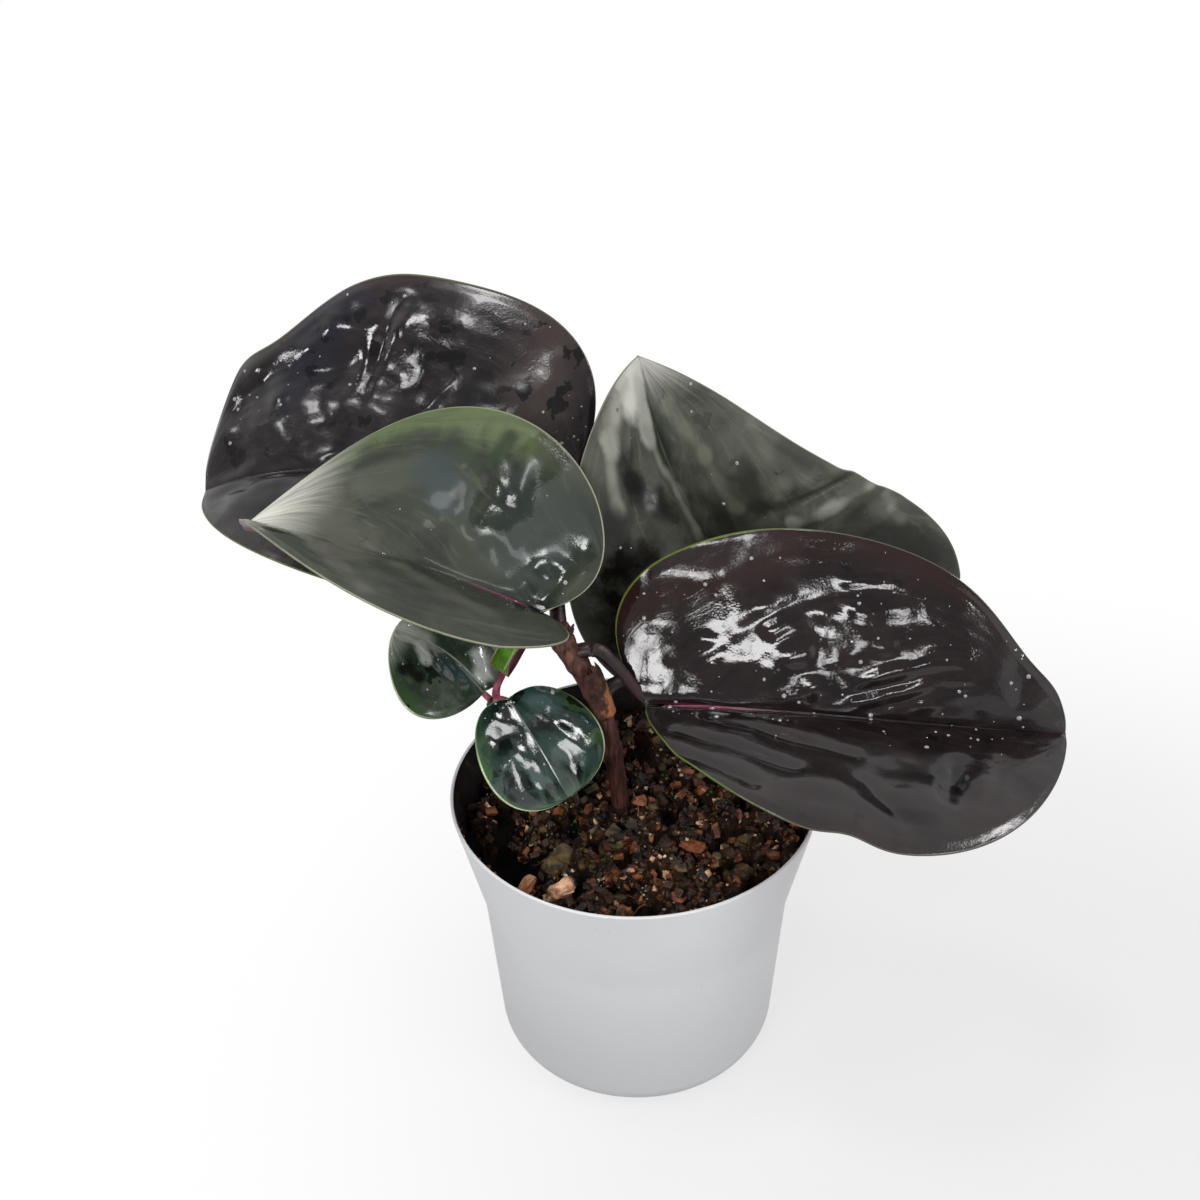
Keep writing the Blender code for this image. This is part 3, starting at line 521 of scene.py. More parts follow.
BLADE_TONES = {
    "leaf_front_left": dict(
        body=((0.005, 0.0075, 0.004), (0.024, 0.029, 0.017), 90), veins=((0.06, 0.066, 0.048), 0.12),
        streaks=((0.074, 0.08, 0.054), 0.6), margin=((0.21, 0.21, 0.15), (0.22, 0.23, 0.15), 0.3, 0.3),
        band=((0.082, 0.112, 0.044), 11, 0.1, 1), rib=((0.19, 0.012, 0.075), 0.8, 0.36),
        tip=((0.74, 0.73, 0.66), 0.72), blots=((0.01, 0.014, 0.008), 0.45, 0.36),
        marks_and_painted_light=(((62, -6), (48, 6), 13, (0.1, 0.104, 0.075), 0.55),
               ((50, -20), (42, -25), 6, (0.08, 0.088, 0.058), 0.5),
               ((56, 12), (42, 20), 8, (0.105, 0.104, 0.078), 0.5),
               ((12, -22), (8, -14), 14, (0.018, 0.026, 0.022), 0.85),
               # Painted sheen: the bluish patch below the green band.
               ((38, -27), (31, -20), 6.5, (0.022, 0.036, 0.04), 0.7),
               ((40, -32.5), (26, -31.5), 1.8, (0.014, 0.027, 0.008), 0.8),
               ((23.5, -39), (24, -33.5), 2.4, (0.009, 0.023, 0.005), 0.95),
               # Painted shade along the crease, and a painted highlight on the ridge beside it.
               ((28.5, -30), (28.6, -12), 1.5, (0.014, 0.024, 0.009), 0.85),
               ((31.5, -29), (31, -14), 0.9, (0.07, 0.086, 0.05), 0.5),
               ((6, -38), (12, -40), 6, (0.036, 0.04, 0.028), 0.8),
               ((62, 4), (30, 16), 4, (0.115, 0.112, 0.084), 0.4),
               ((46, 24), (30, 36), 3, (0.1, 0.098, 0.076), 0.5),
               ((34, 4), (8, 9), 7, (0.019, 0.02, 0.015), 0.85),
               ((24, 18), (8, 20), 4, (0.07, 0.066, 0.052), 0.5),
               # Painted sheen: the pale wash that runs on from the tip.
               ((72, 2), (60, 16), 7, (0.3, 0.3, 0.26), 0.5),
               ((57, 24), (52, 21), 2.2, (0.012, 0.017, 0.008), 1),
               ((52.5, 16.5), (48.5, 15), 2, (0.014, 0.02, 0.01), 1),
               # Painted shade: the near black spot in the sinus at the base.
               ((-1, 1), (4, 5), 4, (0.005, 0.003, 0.004), 1)), gloss=(0.12, 0.48, 0.1, 0.1),
        wet=(((15, -36), (20.5, -21), 6.5), ((0, -14), (5, -4.5), 6), ((57, 24), (52, 21), 2.6),
             ((52.5, 16.5), (48.5, 15), 2.4), ((-1, 1), (6, 6), 5), ((34, 7), (12, 13), 6)),
        crinkle=(0.15, 0.02)),
    "leaf_back_left": dict(
        body=((0.0068, 0.0052, 0.006), (0.0165, 0.0122, 0.0135), 100), veins=((0.036, 0.028, 0.03), 0.12),
        streaks=((0.042, 0.034, 0.034), 0.35), margin=((0.09, 0.075, 0.055), (0.09, 0.12, 0.03), 0.25, 0.4),
        band=((0.034, 0.02, 0.019), 5, 0.6, 0.8), rib=((0.06, 0.01, 0.03), 0.8, 0.4),
        tip=((0.026, 0.02, 0.021), 0.9), blots=((0.0022, 0.002, 0.0026), 0.95, 0.43),
        marks_and_painted_light=(((12, -44), (10, -14), 9, (0.044, 0.032, 0.03), 0.7),
               ((9, -38), (15, -18), 1.3, (0.075, 0.066, 0.058), 0.35),
               # Painted highlights: the two pale lines on the edges of the long crease.
               ((48, -45), (53.5, -22), 0.9, (0.06, 0.054, 0.054), 0.6),
               ((45, -44), (50.4, -22), 0.8, (0.055, 0.05, 0.05), 0.5),
               # Painted sheen: the bluish wash.
               ((62, -44), (70, -22), 9, (0.012, 0.013, 0.021), 0.6),
               ((31, -41), (17, -41), 1.3, (0.002, 0.002, 0.003), 0.95),
               ((64.5, -40.5), (58.5, -39.5), 1.3, (0.002, 0.002, 0.003), 0.95),
               ((75, -19), (75.5, -11.5), 1.2, (0.002, 0.002, 0.003), 0.9),
               ((42, -33), (38.5, -27), 1.6, (0.003, 0.003, 0.004), 0.85),
               ((25, -27), (25, -21), 3, (0.003, 0.003, 0.003), 0.7),
               ((92, 6), (50, 12), 9, (0.0035, 0.003, 0.0034), 0.8)), gloss=(0.07, 0.21, 0.25, 0.06),
        wet=(((84, -27), (42, -33), 10),), crinkle=(0.2, 0.04)),
    "leaf_back_right": dict(
        body=((0.02, 0.022, 0.015), (0.058, 0.06, 0.045), 80), veins=((0.16, 0.165, 0.135), 0.06),
        # Painted sheen: the pale streaks along the veins.
        streaks=((0.12, 0.125, 0.1), 0.5), margin=((0.08, 0.075, 0.06), (0.17, 0.16, 0.12), 0.25, 0.3),
        band=((0.07, 0.072, 0.056), 5, 0.4, 0.5), rib=((0.1, 0.095, 0.08), 0.8, 0.3),
        # Painted sheen: the pale tip.
        tip=((0.5, 0.5, 0.46), 0.8), blots=((0.014, 0.016, 0.011), 0.6, 0.34),
        # Painted sheen: the pale streaks that fan out from the tip along the veins.
        marks_and_painted_light=(((66, 3), (58, 9), 4.6, (0.46, 0.46, 0.42), 0.95),
               ((60, 11), (50, 18.5), 2.6, (0.27, 0.27, 0.235), 0.85),
               ((51, 19), (41, 21.5), 2, (0.18, 0.18, 0.15), 0.75),
               ((60, 4), (50, 4.5), 3, (0.3, 0.3, 0.265), 0.85),
               ((51, 4.5), (36, 1.5), 2.2, (0.19, 0.19, 0.155), 0.8),
               ((36, 1), (26, 3), 2.6, (0.14, 0.14, 0.112), 0.7),
               ((56, -5), (42, -11), 2.4, (0.15, 0.15, 0.12), 0.6),
               ((43, -11), (28, -13), 2.2, (0.12, 0.12, 0.095), 0.6),
               ((46, -25), (30, -27), 2, (0.11, 0.11, 0.09), 0.5),
               # Painted shade in the hollow.
               ((44, 15.5), (38.5, 10), 4.4, (0.009, 0.01, 0.01), 0.95),
               ((50.5, -1.5), (44, 0.5), 2.8, (0.018, 0.021, 0.015), 0.85),
               ((37, -19.5), (26, -18.5), 2.8, (0.018, 0.02, 0.014), 0.85),
               ((30, -36), (38, -31), 3.2, (0.02, 0.021, 0.016), 0.7),
               # Painted shade: the near black lower left part, which lies in shadow.
               ((37, 25), (26, 22), 5.5, (0.005, 0.005, 0.004), 0.95),
               ((22, 26), (8, 20), 14, (0.003, 0.003, 0.0025), 0.97),
               # Painted highlights: pale lines along the fold and the lobe's edge by the notch.
               ((24, -46), (27, -24), 1.3, (0.13, 0.13, 0.105), 0.5),
               ((16.5, -45), (18.5, -24), 1.8, (0.2, 0.2, 0.175), 0.75),
               ((10, -47), (-2, -46), 2, (0.13, 0.13, 0.115), 0.6),
               ((10, -38), (-12, -43), 5, (0.018, 0.019, 0.016), 0.8)), gloss=(0.12, 0.55, 0.05, 0.12),
        wet=(((42, 13), (36, 10), 5), ((24, 28), (6, 18), 13)), crinkle=(0.1, 0)),
    "leaf_front_right": dict(
        body=((0.006, 0.0042, 0.0045), (0.016, 0.01, 0.0105), 100), veins=((0.02, 0.012, 0.013), 0.2),
        streaks=((0.028, 0.015, 0.016), 0.4),
        margin=((0.09, 0.125, 0.018), (0.07, 0.066, 0.056), 0.5, 0.25),
        band=((0.021, 0.0095, 0.0075), 8, 0.8, 0.1), rib=((0.13, 0.009, 0.04), 1, 0.4),
        tip=((0.012, 0.009, 0.01), 0.9), blots=((0.0025, 0.0022, 0.0026), 0.8, 0.34),
        marks_and_painted_light=(((-4, 22), (30, 37), 6, (0.024, 0.01, 0.009), 0.6),
               ((30, -22), (60, -22), 12, (0.016, 0.0145, 0.0145), 0.6),
               # Painted shade: the black gaps in the folds of the lower half.
               ((70.6, -22), (70.6, -16), 2.4, (0.002, 0.002, 0.002), 0.9),
               ((57, -33), (63, -33), 2.6, (0.002, 0.002, 0.002), 0.8)), gloss=(0.06, 0.17, 0.3, 0.04),
        wet=(((5, 10), (60, 16), 16), ((42, 36), (66, 33), 8)), crinkle=(0.12, 0.2)),
    "young_leaf": dict(
        body=((0.05, 0.15, 0.01), (0.15, 0.36, 0.03), 150), veins=((0.19, 0.42, 0.06), 0.3),
        streaks=((0.2, 0.42, 0.06), 0.3), margin=((0.33, 0.12, 0.14), (0.25, 0.45, 0.08), 0.5, 0.25),
        band=((0.1, 0.26, 0.02), 2, 0.6, 0.6), rib=((0.25, 0.45, 0.1), 0.35, 1.2),
        tip=((0.2, 0.4, 0.06), 0.85), blots=((0.04, 0.12, 0.01), 0.5, 0.3), marks_and_painted_light=(),
        gloss=(0.25, 0.4, 0.2, 0.1), wet=(((4, 0), (12, 0), 8),), crinkle=(0.2, 0)),
    "small_leaf_left": dict(
        SMALL_LEAF_TONES, body=((0.018, 0.032, 0.02), (0.07, 0.095, 0.064), 150),
        # Painted sheen: the pale tip.
        tip=((0.4, 0.43, 0.36), 0.74), blots=((0.003, 0.008, 0.005), 0.85, 0.36),
        gloss=(0.12, 0.26, 0.8, 0.09),
        # Painted sheen: the pale patch near the tip.
        marks_and_painted_light=(((24, 0), (19, 1), 3.2, (0.33, 0.36, 0.3), 0.7),
               ((19, 2.5), (15, 6.5), 1.5, (0.4, 0.44, 0.38), 0.85),
               # Painted highlight: the white spot beside the midrib.
               ((6.5, -5), (3.5, -2.5), 2.6, (0.5, 0.54, 0.5), 0.85),
               ((18.5, 11), (14, 11), 2.6, (0.003, 0.006, 0.004), 0.95),
               # Painted sheen: the bluish patch.
               ((7, 3), (10, 6), 3.5, (0.01, 0.042, 0.045), 0.7))),
    "small_leaf_front": dict(
        SMALL_LEAF_TONES, body=((0.003, 0.009, 0.007), (0.017, 0.04, 0.03), 150),
        rib=((0.12, 0.15, 0.135), 0.4, 1), gloss=(0.1, 0.13, 0.6, 0.07),
        marks_and_painted_light=(((3, -3), (9, -7), 4, (0.003, 0.007, 0.006), 0.95),
               ((9, 3), (12.5, 9), 2.6, (0.003, 0.008, 0.007), 0.9),
               # Painted sheen: the bluish patches.
               ((3, 5), (6, 9), 2.6, (0.045, 0.08, 0.08), 0.6),
               ((17, -11), (20, -3), 3, (0.05, 0.085, 0.085), 0.4),
               ((16, 4), (21, 8), 3, (0.05, 0.085, 0.08), 0.4),
               ((23, -8), (20, -12), 1.6, (0.003, 0.008, 0.006), 0.9))),
}


def fine_relief(made, strengths, streak, flow, broad, share):
    """The small relief of a face: quilting in a grid, pleats at the base, crinkles and the cells."""
    crinkle, grid = strengths
    quilts = made.cells(1.0, made.stretch(flow, (2.2, 0.40, 1.0)))
    quilted = made.bump(made.times(quilts, made.span(broad, 0.42, 0.58)), 0.0004, grid)
    pleats = made.times(made.span(streak, 0.42, 0.60), made.span(share, 0.20, 0.06))
    quilted = made.bump(pleats, 0.0004, 0.5 * grid, quilted)
    foil = made.noise(420.0, 4.0, 0.6, distortion=0.8)
    creased = made.times(foil, made.span(made.noise(60.0, 2.0), 0.42, 0.58))
    return made.bump(made.cells(1700.0), 0.00005, 0.25, made.bump(creased, 0.0011, 0.5 * crinkle, quilted))


def blade_finish(name, tones):
    """Upper face of a blade, laid out by the places on the flat blade that its mesh carries."""
    wet, dry, coat, coat_roughness = tones["gloss"]
    made = Finish(name, 1.45, 0.38, Coat_Weight=coat, Coat_Roughness=coat_roughness, Coat_IOR=1.4)
    pressed, along, across, edge = made.attribute("blade_map")
    lane, pillow, share = made.attribute("blade_lanes")[1:]
    dark, light, grain = tones["body"]
    mottle = made.noise(grain, 5.0, 0.62, distortion=0.4)
    broad = made.noise(45.0, 3.0, 0.55)
    flow = made.node("CombineXYZ", {0: lane, 1: along, 2: made.times(across, 0.02)}).outputs[0]
    streak = made.noise(1.0, 5.0, 0.65, made.stretch(flow, (2.6, 0.06, 1.0)), 0.6)

    def away_from(start, end, width):
        """Distance from a stroke as a share of its width, with a ragged outline."""
        run = Vector((*end, 0.0)) - Vector((*start, 0.0))
        offset = made.stretch(pressed, (1.0, 1.0, 0.0), (-start[0], -start[1], 0.0))
        passed = made.node("VectorMath", {0: offset, 1: run / run.length_squared}, operation="DOT_PRODUCT")
        passed = made.span(passed.outputs["Value"], 0.0, 1.0)
        nearest = made.node("VectorMath", {0: run, 3: passed}, operation="SCALE").outputs[0]
        away = made.node("VectorMath", {0: offset, 1: nearest}, operation="DISTANCE").outputs["Value"]
        return made.plus(made.math("DIVIDE", away, width), made.span(mottle, 0.25, 0.75, -0.35, 0.35))

    mottled = made.plus(made.times(mottle, 0.6), made.times(broad, 0.4))
    color = made.mix(made.span(mottled, 0.38, 0.62), dark, light)
    tone, strength = tones["streaks"]
    color = made.mix(made.span(streak, 0.52, 0.72, 0.0, strength), color, tone)
    tone, strength = tones["veins"]
    color = made.mix(made.times(made.span(pillow, 0.25, 0.0), strength), color, tone)

    tone, width, left, right = tones["band"]
    inwards = made.plus(edge, made.span(mottle, 0.3, 0.7, -3.0, 3.0))
    wash = made.times(made.span(inwards, width, 0.2 * width), made.span(across, -2.0, 2.0, right, left))
    middle = made.times(made.span(share, 0.02, 0.3), made.span(share, 0.92, 0.7))
    wash = made.times(wash, made.times(middle, made.span(streak, 0.3, 0.6, 0.6, 1.0)))
    color = made.mix(wash, color, tone)
    # The marks are laid on one at a time: stains and blots, and also painted sheen, painted highlights and
    # painted shade.
    for *stroke, tone, strength in tones["marks_and_painted_light"]:
        color = made.mix(made.span(away_from(*stroke), 1.25, 0.35, 0.0, strength), color, tone)

    tone, strength, cover = tones["blots"]
    drift = made.noise(150.0, 3.0, 0.55, made.stretch(made.position, (1.0, 1.0, 1.0), (0.7, 0.2, 0.4)))
    color = made.mix(made.times(made.span(drift, 1.0 - cover, 1.03 - cover), strength), color, tone)
    # The tip tone is laid on towards the tip; where it is pale (leaf_front_left, leaf_back_right,
    # small_leaf_left) it is painted sheen.
    tone, start = tones["tip"]
    tip_tone_and_sheen = made.times(made.span(share, start, 1.02), made.span(streak, 0.3, 0.6, 0.35, 1.0))
    color = made.mix(tip_tone_and_sheen, color, tone)

    tone, width, reach = tones["rib"]
    off = made.math("DIVIDE", made.math("ABSOLUTE", across), made.span(share, 0.0, reach, width, 0.1))
    ends = made.times(made.span(share, reach, 0.3 * reach), made.span(share, 0.03, 0.09))
    color = made.mix(made.times(made.span(off, 1.2, 0.4), ends), color, tone)
    near, beyond, near_width, width = tones["margin"]
    off = made.math("DIVIDE", edge, made.span(share, 0.12, 0.4, near_width, width))
    color = made.mix(made.span(off, 1.2, 0.7), color, made.mix(made.span(share, 0.15, 0.45), near, beyond))

    shine = 0.0
    for stroke in tones["wet"]:
        shine = made.math("MAXIMUM", shine, made.span(away_from(*stroke), 1.4, 0.7))
    shine = made.times(shine, made.span(made.noise(70.0, 3.0, 0.6), 0.64, 0.42, 0.45, 1.0))
    return made.close(color, made.span(shine, 0.0, 1.0, dry, wet),
                      fine_relief(made, tones["crinkle"], streak, flow, broad, share))


def underside_finish(name, tone):
    """Purple lower face of a blade with its veins paler and a fine bump of small cells."""
    made = Finish(name, 1.42, 0.4)
    pillow = made.attribute("blade_lanes")[2]
    mottle = made.noise(120.0, 4.0, 0.6)
    color = made.mix(made.span(mottle, 0.35, 0.65), shade(tone, 0.55), shade(tone, 1.2))
    paler = tuple(1.8 * part + 0.01 for part in tone)
    color = made.mix(made.span(pillow, 0.25, 0.0, 0.0, 0.5), color, paler)
    return made.close(color, made.span(mottle, 0.3, 0.7, 0.38, 0.55),
                      made.bump(made.cells(1300.0), 0.00008, 0.4))


def rim_finish(name, near, beyond):
    """The thin cut-like edge that runs round a blade."""
    made = Finish(name, 1.42, 0.4)
    color = made.mix(made.span(made.attribute("blade_lanes")[3], 0.15, 0.45), near, beyond)
    color = made.mix(made.span(made.noise(500.0, 2.0), 0.4, 0.7, 0.0, 0.5), color, shade(beyond, 0.5))
    return made.close(color, made.span(made.noise(300.0), 0.3, 0.7, 0.35, 0.55))


def water_finish():
    """Clear water with a slightly uneven surface."""
    made = Finish("water", 1.38, 0.5, Base_Color=(1.0, 1.0, 1.0, 1.0), Transmission_Weight=0.75)
    return made.close(rough=made.span(made.noise(900.0), 0.3, 0.7, 0.0, 0.03))


# ---------------------------------------------------------------- shared modelling

def plant():
    """The plant's settings."""
    return bpy.context.scene.geogenanthus


def add_object(name, bm, materials):
    """Turn the finished mesh into an object of the scene."""
    mesh = bpy.data.meshes.new(name)
    bm.to_mesh(mesh)
    bm.free()
    for material in materials:
        mesh.materials.append(material)
    made = bpy.data.objects.new(name, mesh)
    bpy.context.scene.collection.objects.link(made)
    return made


def add_piece(name, bm, materials, nodes=(), sharp=None):
    """Make the finished mesh a piece of the plant, smooth but for its edges past a sharp angle."""
    piece = add_object(name, bm, materials)
    piece.data.shade_smooth()
    if sharp:
        piece.data.set_sharp_from_angle(angle=math.radians(sharp))
    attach(piece, "root")
    if nodes:
        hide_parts(*nodes)
    return piece


def close_up(bm, reach=0.01):
    """Merge the points that are closer than a distance, and turn the faces outwards."""
    bmesh.ops.remove_doubles(bm, verts=bm.verts, dist=reach * MM)
    bmesh.ops.dissolve_degenerate(bm, edges=bm.edges, dist=reach * MM)
    bmesh.ops.recalc_face_normals(bm, faces=bm.faces)


def smooth_route(points, steps):
    """Points on a smooth curve that runs through the given ones."""
    points = [Vector(p) for p in points]
    ends = [2 * points[0] - points[1]] + points + [2 * points[-1] - points[-2]]
    route = []
    for i in range(1, len(ends) - 2):
        before, here, after, beyond = ends[i - 1:i + 3]
        for step in range(steps):
            t = step / steps
            route.append(0.5 * (2 * here + (after - before) * t
                                + (2 * before - 5 * here + 4 * after - beyond) * t * t
                                + (3 * here - before - 3 * after + beyond) * t ** 3))
    route.append(points[-1])
    return route


def along_route(route, share):
    """Point and direction at a share of the way along a route."""
    place = min(max(share, 0.0), 1.0) * (len(route) - 1)
    i = min(int(place), len(route) - 2)
    return route[i].lerp(route[i + 1], place - i), (route[i + 1] - route[i]).normalized()


def tube(bm, route, radius, rings, sides):
    """A closed tube along a route. The radius is a function of the share along and the angle."""
    grown = bmesh.ops.create_grid(bm, x_segments=rings + 2, y_segments=sides, size=1.0)["verts"]
    for vert in grown:
        row = round((vert.co.x + 1) / 2 * (rings + 2))
        angle = (vert.co.y + 1) * math.pi
        share = min(max((row - 1) / rings, 0.0), 1.0)
        centre, ahead = along_route(route, share)
        aside = (Vector((1, 0, 0)) - ahead * ahead.x).normalized()
        upward = ahead.cross(aside)
        reach = radius(share, angle) if 0 < row < rings + 2 else 0.0
        vert.co = (centre + (aside * math.cos(angle) + upward * math.sin(angle)) * reach) * MM
    return grown


def smooth_step(low, high, value):
    t = min(max((value - low) / (high - low), 0.0), 1.0)
    return t * t * (3 - 2 * t)


# ---------------------------------------------------------------- pot

# Steps of the pot's shoulder: how far out from its radius, how far up from its height
SHOULDER_STEPS = ((-0.15, -2.0), (-0.05, -0.4), (0.2, 1.5))


def straight(start, end, steps):
    """Points on a line between two places, without the places themselves."""
    return [(start[0] + (end[0] - start[0]) * step / steps, start[1] + (end[1] - start[1]) * step / steps)
            for step in range(1, steps)]


def wall_profile(inset, steps=16):
    """The pot's outside from its foot up to its rim, moved in by a distance."""
    foot = []
    for step in range(steps + 1):
        angle = math.radians(90.0 * step / steps)
        foot.append((FOOT_RADIUS - FOOT_ROUNDING + (FOOT_ROUNDING - inset) * math.sin(angle),
                     FOOT_ROUNDING - (FOOT_ROUNDING - inset) * math.cos(angle)))
    shoulder = [(SHOULDER_RADIUS + out - inset, SHOULDER_HEIGHT + up) for out, up in SHOULDER_STEPS]
    rim = (RIM_RADIUS - inset, POT_HEIGHT)
    return foot + straight(foot[-1], shoulder[0], 13) + shoulder + straight(shoulder[-1], rim, 8) + [rim]


def wall_radius(inset, height):
    """Radius of the wall's profile at a height."""
    points = wall_profile(inset)
    for (low_radius, low), (high_radius, high) in zip(points, points[1:]):
        if low <= height <= high:
            return low_radius + (high_radius - low_radius) * (height - low) / (high - low)
    return points[-1][0]


def spin_profile(profile, segments):
    """A profile turned once round the pot's axis."""
    bm = bmesh.new()
    verts = [bm.verts.new((radius * MM, 0.0, height * MM)) for radius, height in profile]
    edges = [bm.edges.new(pair) for pair in zip(verts, verts[1:])]
    bmesh.ops.spin(bm, geom=verts + edges, cent=(0, 0, 0), axis=(0, 0, 1), angle=2 * math.pi,
                   steps=segments, use_merge=True)
    return bm


def carve(bm, cutter):
    """Cut one mesh out of another and return what is left."""
    carriers = [add_object(name, source, ()) for name, source in (("carved", bm), ("carver", cutter))]
    cut = carriers[0].modifiers.new("cut", "BOOLEAN")
    cut.operation, cut.solver, cut.object = "DIFFERENCE", "EXACT", carriers[1]
    left = carriers[0].evaluated_get(bpy.context.evaluated_depsgraph_get())
    made = bmesh.new()
    made.from_mesh(left.data)
    for carrier in carriers:
        mesh = carrier.data
        bpy.data.objects.remove(carrier, do_unlink=True)
        bpy.data.meshes.remove(mesh)
    return made


# Angle past which the pot's edges are sharp, and depth of the drill for its holes
POT_SHARP = 35.0
DRILL_DEPTH = 4.0
# Section of the pot's lip, from its outer to its inner edge: the share of the wall and of the lip's
# rounding that each point lies in from the rim's radius, and the share of the rounding below the rim
LIP_SECTION = ((0, 0.2, 1), (0, 0.6, 0.3), (0, 1.2, 0), (1, -0.8, 0), (1, -0.2, 0.5), (1, 0, 2))


class GEOGENANTHUS_OT_pot(bpy.types.Operator):
    """Build the white nursery pot with its dark inner layer and drain holes"""
    bl_idname = "geogenanthus.pot"
    bl_label = "Pot"

    def execute(self, context):
        settings = plant().pot
        wall, lip = settings.wall / MM, settings.lip / MM
        top = [(RIM_RADIUS - across * wall - inward * lip, POT_HEIGHT - down * lip)
               for across, inward, down in LIP_SECTION]
        profile = [(0.0, 0.0)] + wall_profile(0.0)[:-1] + top + wall_profile(wall)[-2::-1] + [(0.0, wall)]
        bm = spin_profile(profile, settings.segments)
        close_up(bm)
        drill = bmesh.new()
        for i in range(DRAIN_HOLES):
            turn = Matrix.Rotation(2 * math.pi * i / DRAIN_HOLES, 4, "Z")
            bmesh.ops.create_cone(drill, cap_ends=True, segments=32, radius1=DRAIN_RADIUS * MM,
                                  radius2=DRAIN_RADIUS * MM, depth=DRILL_DEPTH * MM,
                                  matrix=turn @ Matrix.Translation((DRAIN_RING * MM, 0.0, 0.0)))
        bm = carve(bm, drill)
        for face in bm.faces:
            centre = face.calc_center_median() / MM
            reach = math.hypot(centre.x, centre.y)
            inner = centre.z > wall / 2 and reach < wall_radius(wall / 2, centre.z)
            face.material_index = 1 if inner and centre.z < POT_HEIGHT - lip else 0
        add_piece("nursery_pot", bm, [plastic_finish(settings), inner_plastic_finish(settings)],
                  ["pot"], sharp=POT_SHARP)
        return {"FINISHED"}


# ---------------------------------------------------------------- soil

def off_hollow(x, y):
    """Distance from the middle of the soil's hollow, as a share of its spread."""
    return math.hypot(x - SOIL_HOLLOW_PLACE[0], y - SOIL_HOLLOW_PLACE[1]) / SOIL_HOLLOW_SPREAD


def soil_height(x, y):
    """Height of the soil's surface: a slight tilt, small lumps and a hollow at the front left."""
    lumps = 0.7 * math.sin(0.31 * x + 1.0) * math.cos(0.27 * y) + 0.5 * math.sin(0.52 * y - 0.4 * x)
    off = off_hollow(x, y)
    return SOIL_LEVEL + SOIL_TILT * x + lumps - SOIL_HOLLOW_DEPTH * math.exp(-off * off)


def void(x, y):
    """How much a place is one of the dark gaps between the clods, from 0 to 1."""
    off = off_hollow(x, y)
    clods = noise.noise(Vector((x * 0.17, y * 0.17, 4.0)))
    clods += 0.5 * noise.noise(Vector((x * 0.45, y * 0.45, 9.0)))
    return max(smooth_step(0.0, 0.26, clods), math.exp(-off * off / 1.7) * smooth_step(-0.45, 0.0, clods))


def crumbly_height(x, y):
    """The soil's height with its crumbs, lumps and gaps."""
    lumps = plant().soil.lumps / MM
    place = Vector((x, y, 0.0))
    coarse = noise.noise(place * 0.16)
    medium = 1.0 - 2.0 * abs(noise.noise(place * 0.42 + Vector((7.0, 3.0, 1.0))))
    fine = noise.noise(place * 1.1 + Vector((2.0, 9.0, 4.0)))
    return soil_height(x, y) + lumps * (0.55 * coarse + 0.32 * medium + 0.22 * fine) - GAP_DEPTH * void(x, y)


# Play between the soil and the wall, the band below the surface that has no points of the wall's
# profile, and the rings and facets of the surface
SOIL_PLAY = 0.05
SOIL_BAND = 9.0
SOIL_RINGS = 90
SOIL_FACETS = 132


class GEOGENANTHUS_OT_soil(bpy.types.Operator):
    """Build the body of the soil with its lumpy surface"""
    bl_idname = "geogenanthus.soil"
    bl_label = "Soil"

    def execute(self, context):
        settings = plant().soil
        inset = plant().pot.wall / MM + SOIL_PLAY
        edge = wall_radius(inset, SOIL_LEVEL)
        side = [point for point in wall_profile(inset) if point[1] < SOIL_LEVEL - SOIL_BAND]
        top = [(edge * (1.0 - i / SOIL_RINGS), SOIL_LEVEL) for i in range(SOIL_RINGS + 1)]
        bm = spin_profile([(0.0, inset)] + side + top, SOIL_FACETS)
        close_up(bm, 0.005)
        for vert in bm.verts:
            if vert.co.z / MM < SOIL_LEVEL - 0.01:
                continue
            x, y = vert.co.x / MM, vert.co.y / MM
            height = crumbly_height(x, y)
            shrink = wall_radius(inset, height) / edge
            vert.co = Vector((x * shrink, y * shrink, height)) * MM
        bmesh.ops.recalc_face_normals(bm, faces=bm.faces)
        add_piece("soil_body", bm, [peat_finish(settings)], ["soil"])
        return {"FINISHED"}


def rough_lump(bm, chance, place, size, flatness):
    """One irregular lump: a cube or a ball pushed about at its corners."""
    turn = chance.uniform(0, 6.28)
    spin = Matrix.Rotation(turn, 4, Vector([chance.uniform(-1, 1) for _ in range(3)]).normalized())
    wide, high = size * chance.uniform(0.55, 1.0), size * flatness * chance.uniform(0.5, 1.0)
    shape = Matrix.Diagonal((size, wide, high, 1.0))
    matrix = Matrix.Translation(place) @ spin @ shape
    if chance.random() < 0.45:
        verts = bmesh.ops.create_cube(bm, size=1.0)["verts"]
    else:
        verts = bmesh.ops.create_icosphere(bm, subdivisions=1, radius=0.6)["verts"]
    for vert in verts:
        vert.co *= chance.uniform(0.72, 1.18)
        vert.co = (matrix @ vert.co) * MM


# Where the stems come out of the soil and how much room is left round them
STEM_ROOM = (((-3.4, 4.0), 3.6), ((-27.3, 8.0), 3.0))


def open_spot(x, y):
    """Whether a place on the soil is clear of both stems and of the wall."""
    clear = all(math.hypot(x - near[0], y - near[1]) > room for near, room in STEM_ROOM)
    return clear and math.hypot(x, y) < wall_radius(1.0, crumbly_height(x, y) - 1.0) - 1.6


# How far from the middle of the pot the grains and the fibres are strewn, and their edges' sharp angle
GRAIN_REACH = 42.0
FIBRE_REACH = 38.0
GRAIN_SHARP = 32.0


def random_spot(chance, radius):
    """A place in a circle round the middle of the pot, every place as likely as the next."""
    reach, angle = radius * math.sqrt(chance.random()), chance.uniform(0, 2 * math.pi)
    return reach * math.cos(angle), reach * math.sin(angle)


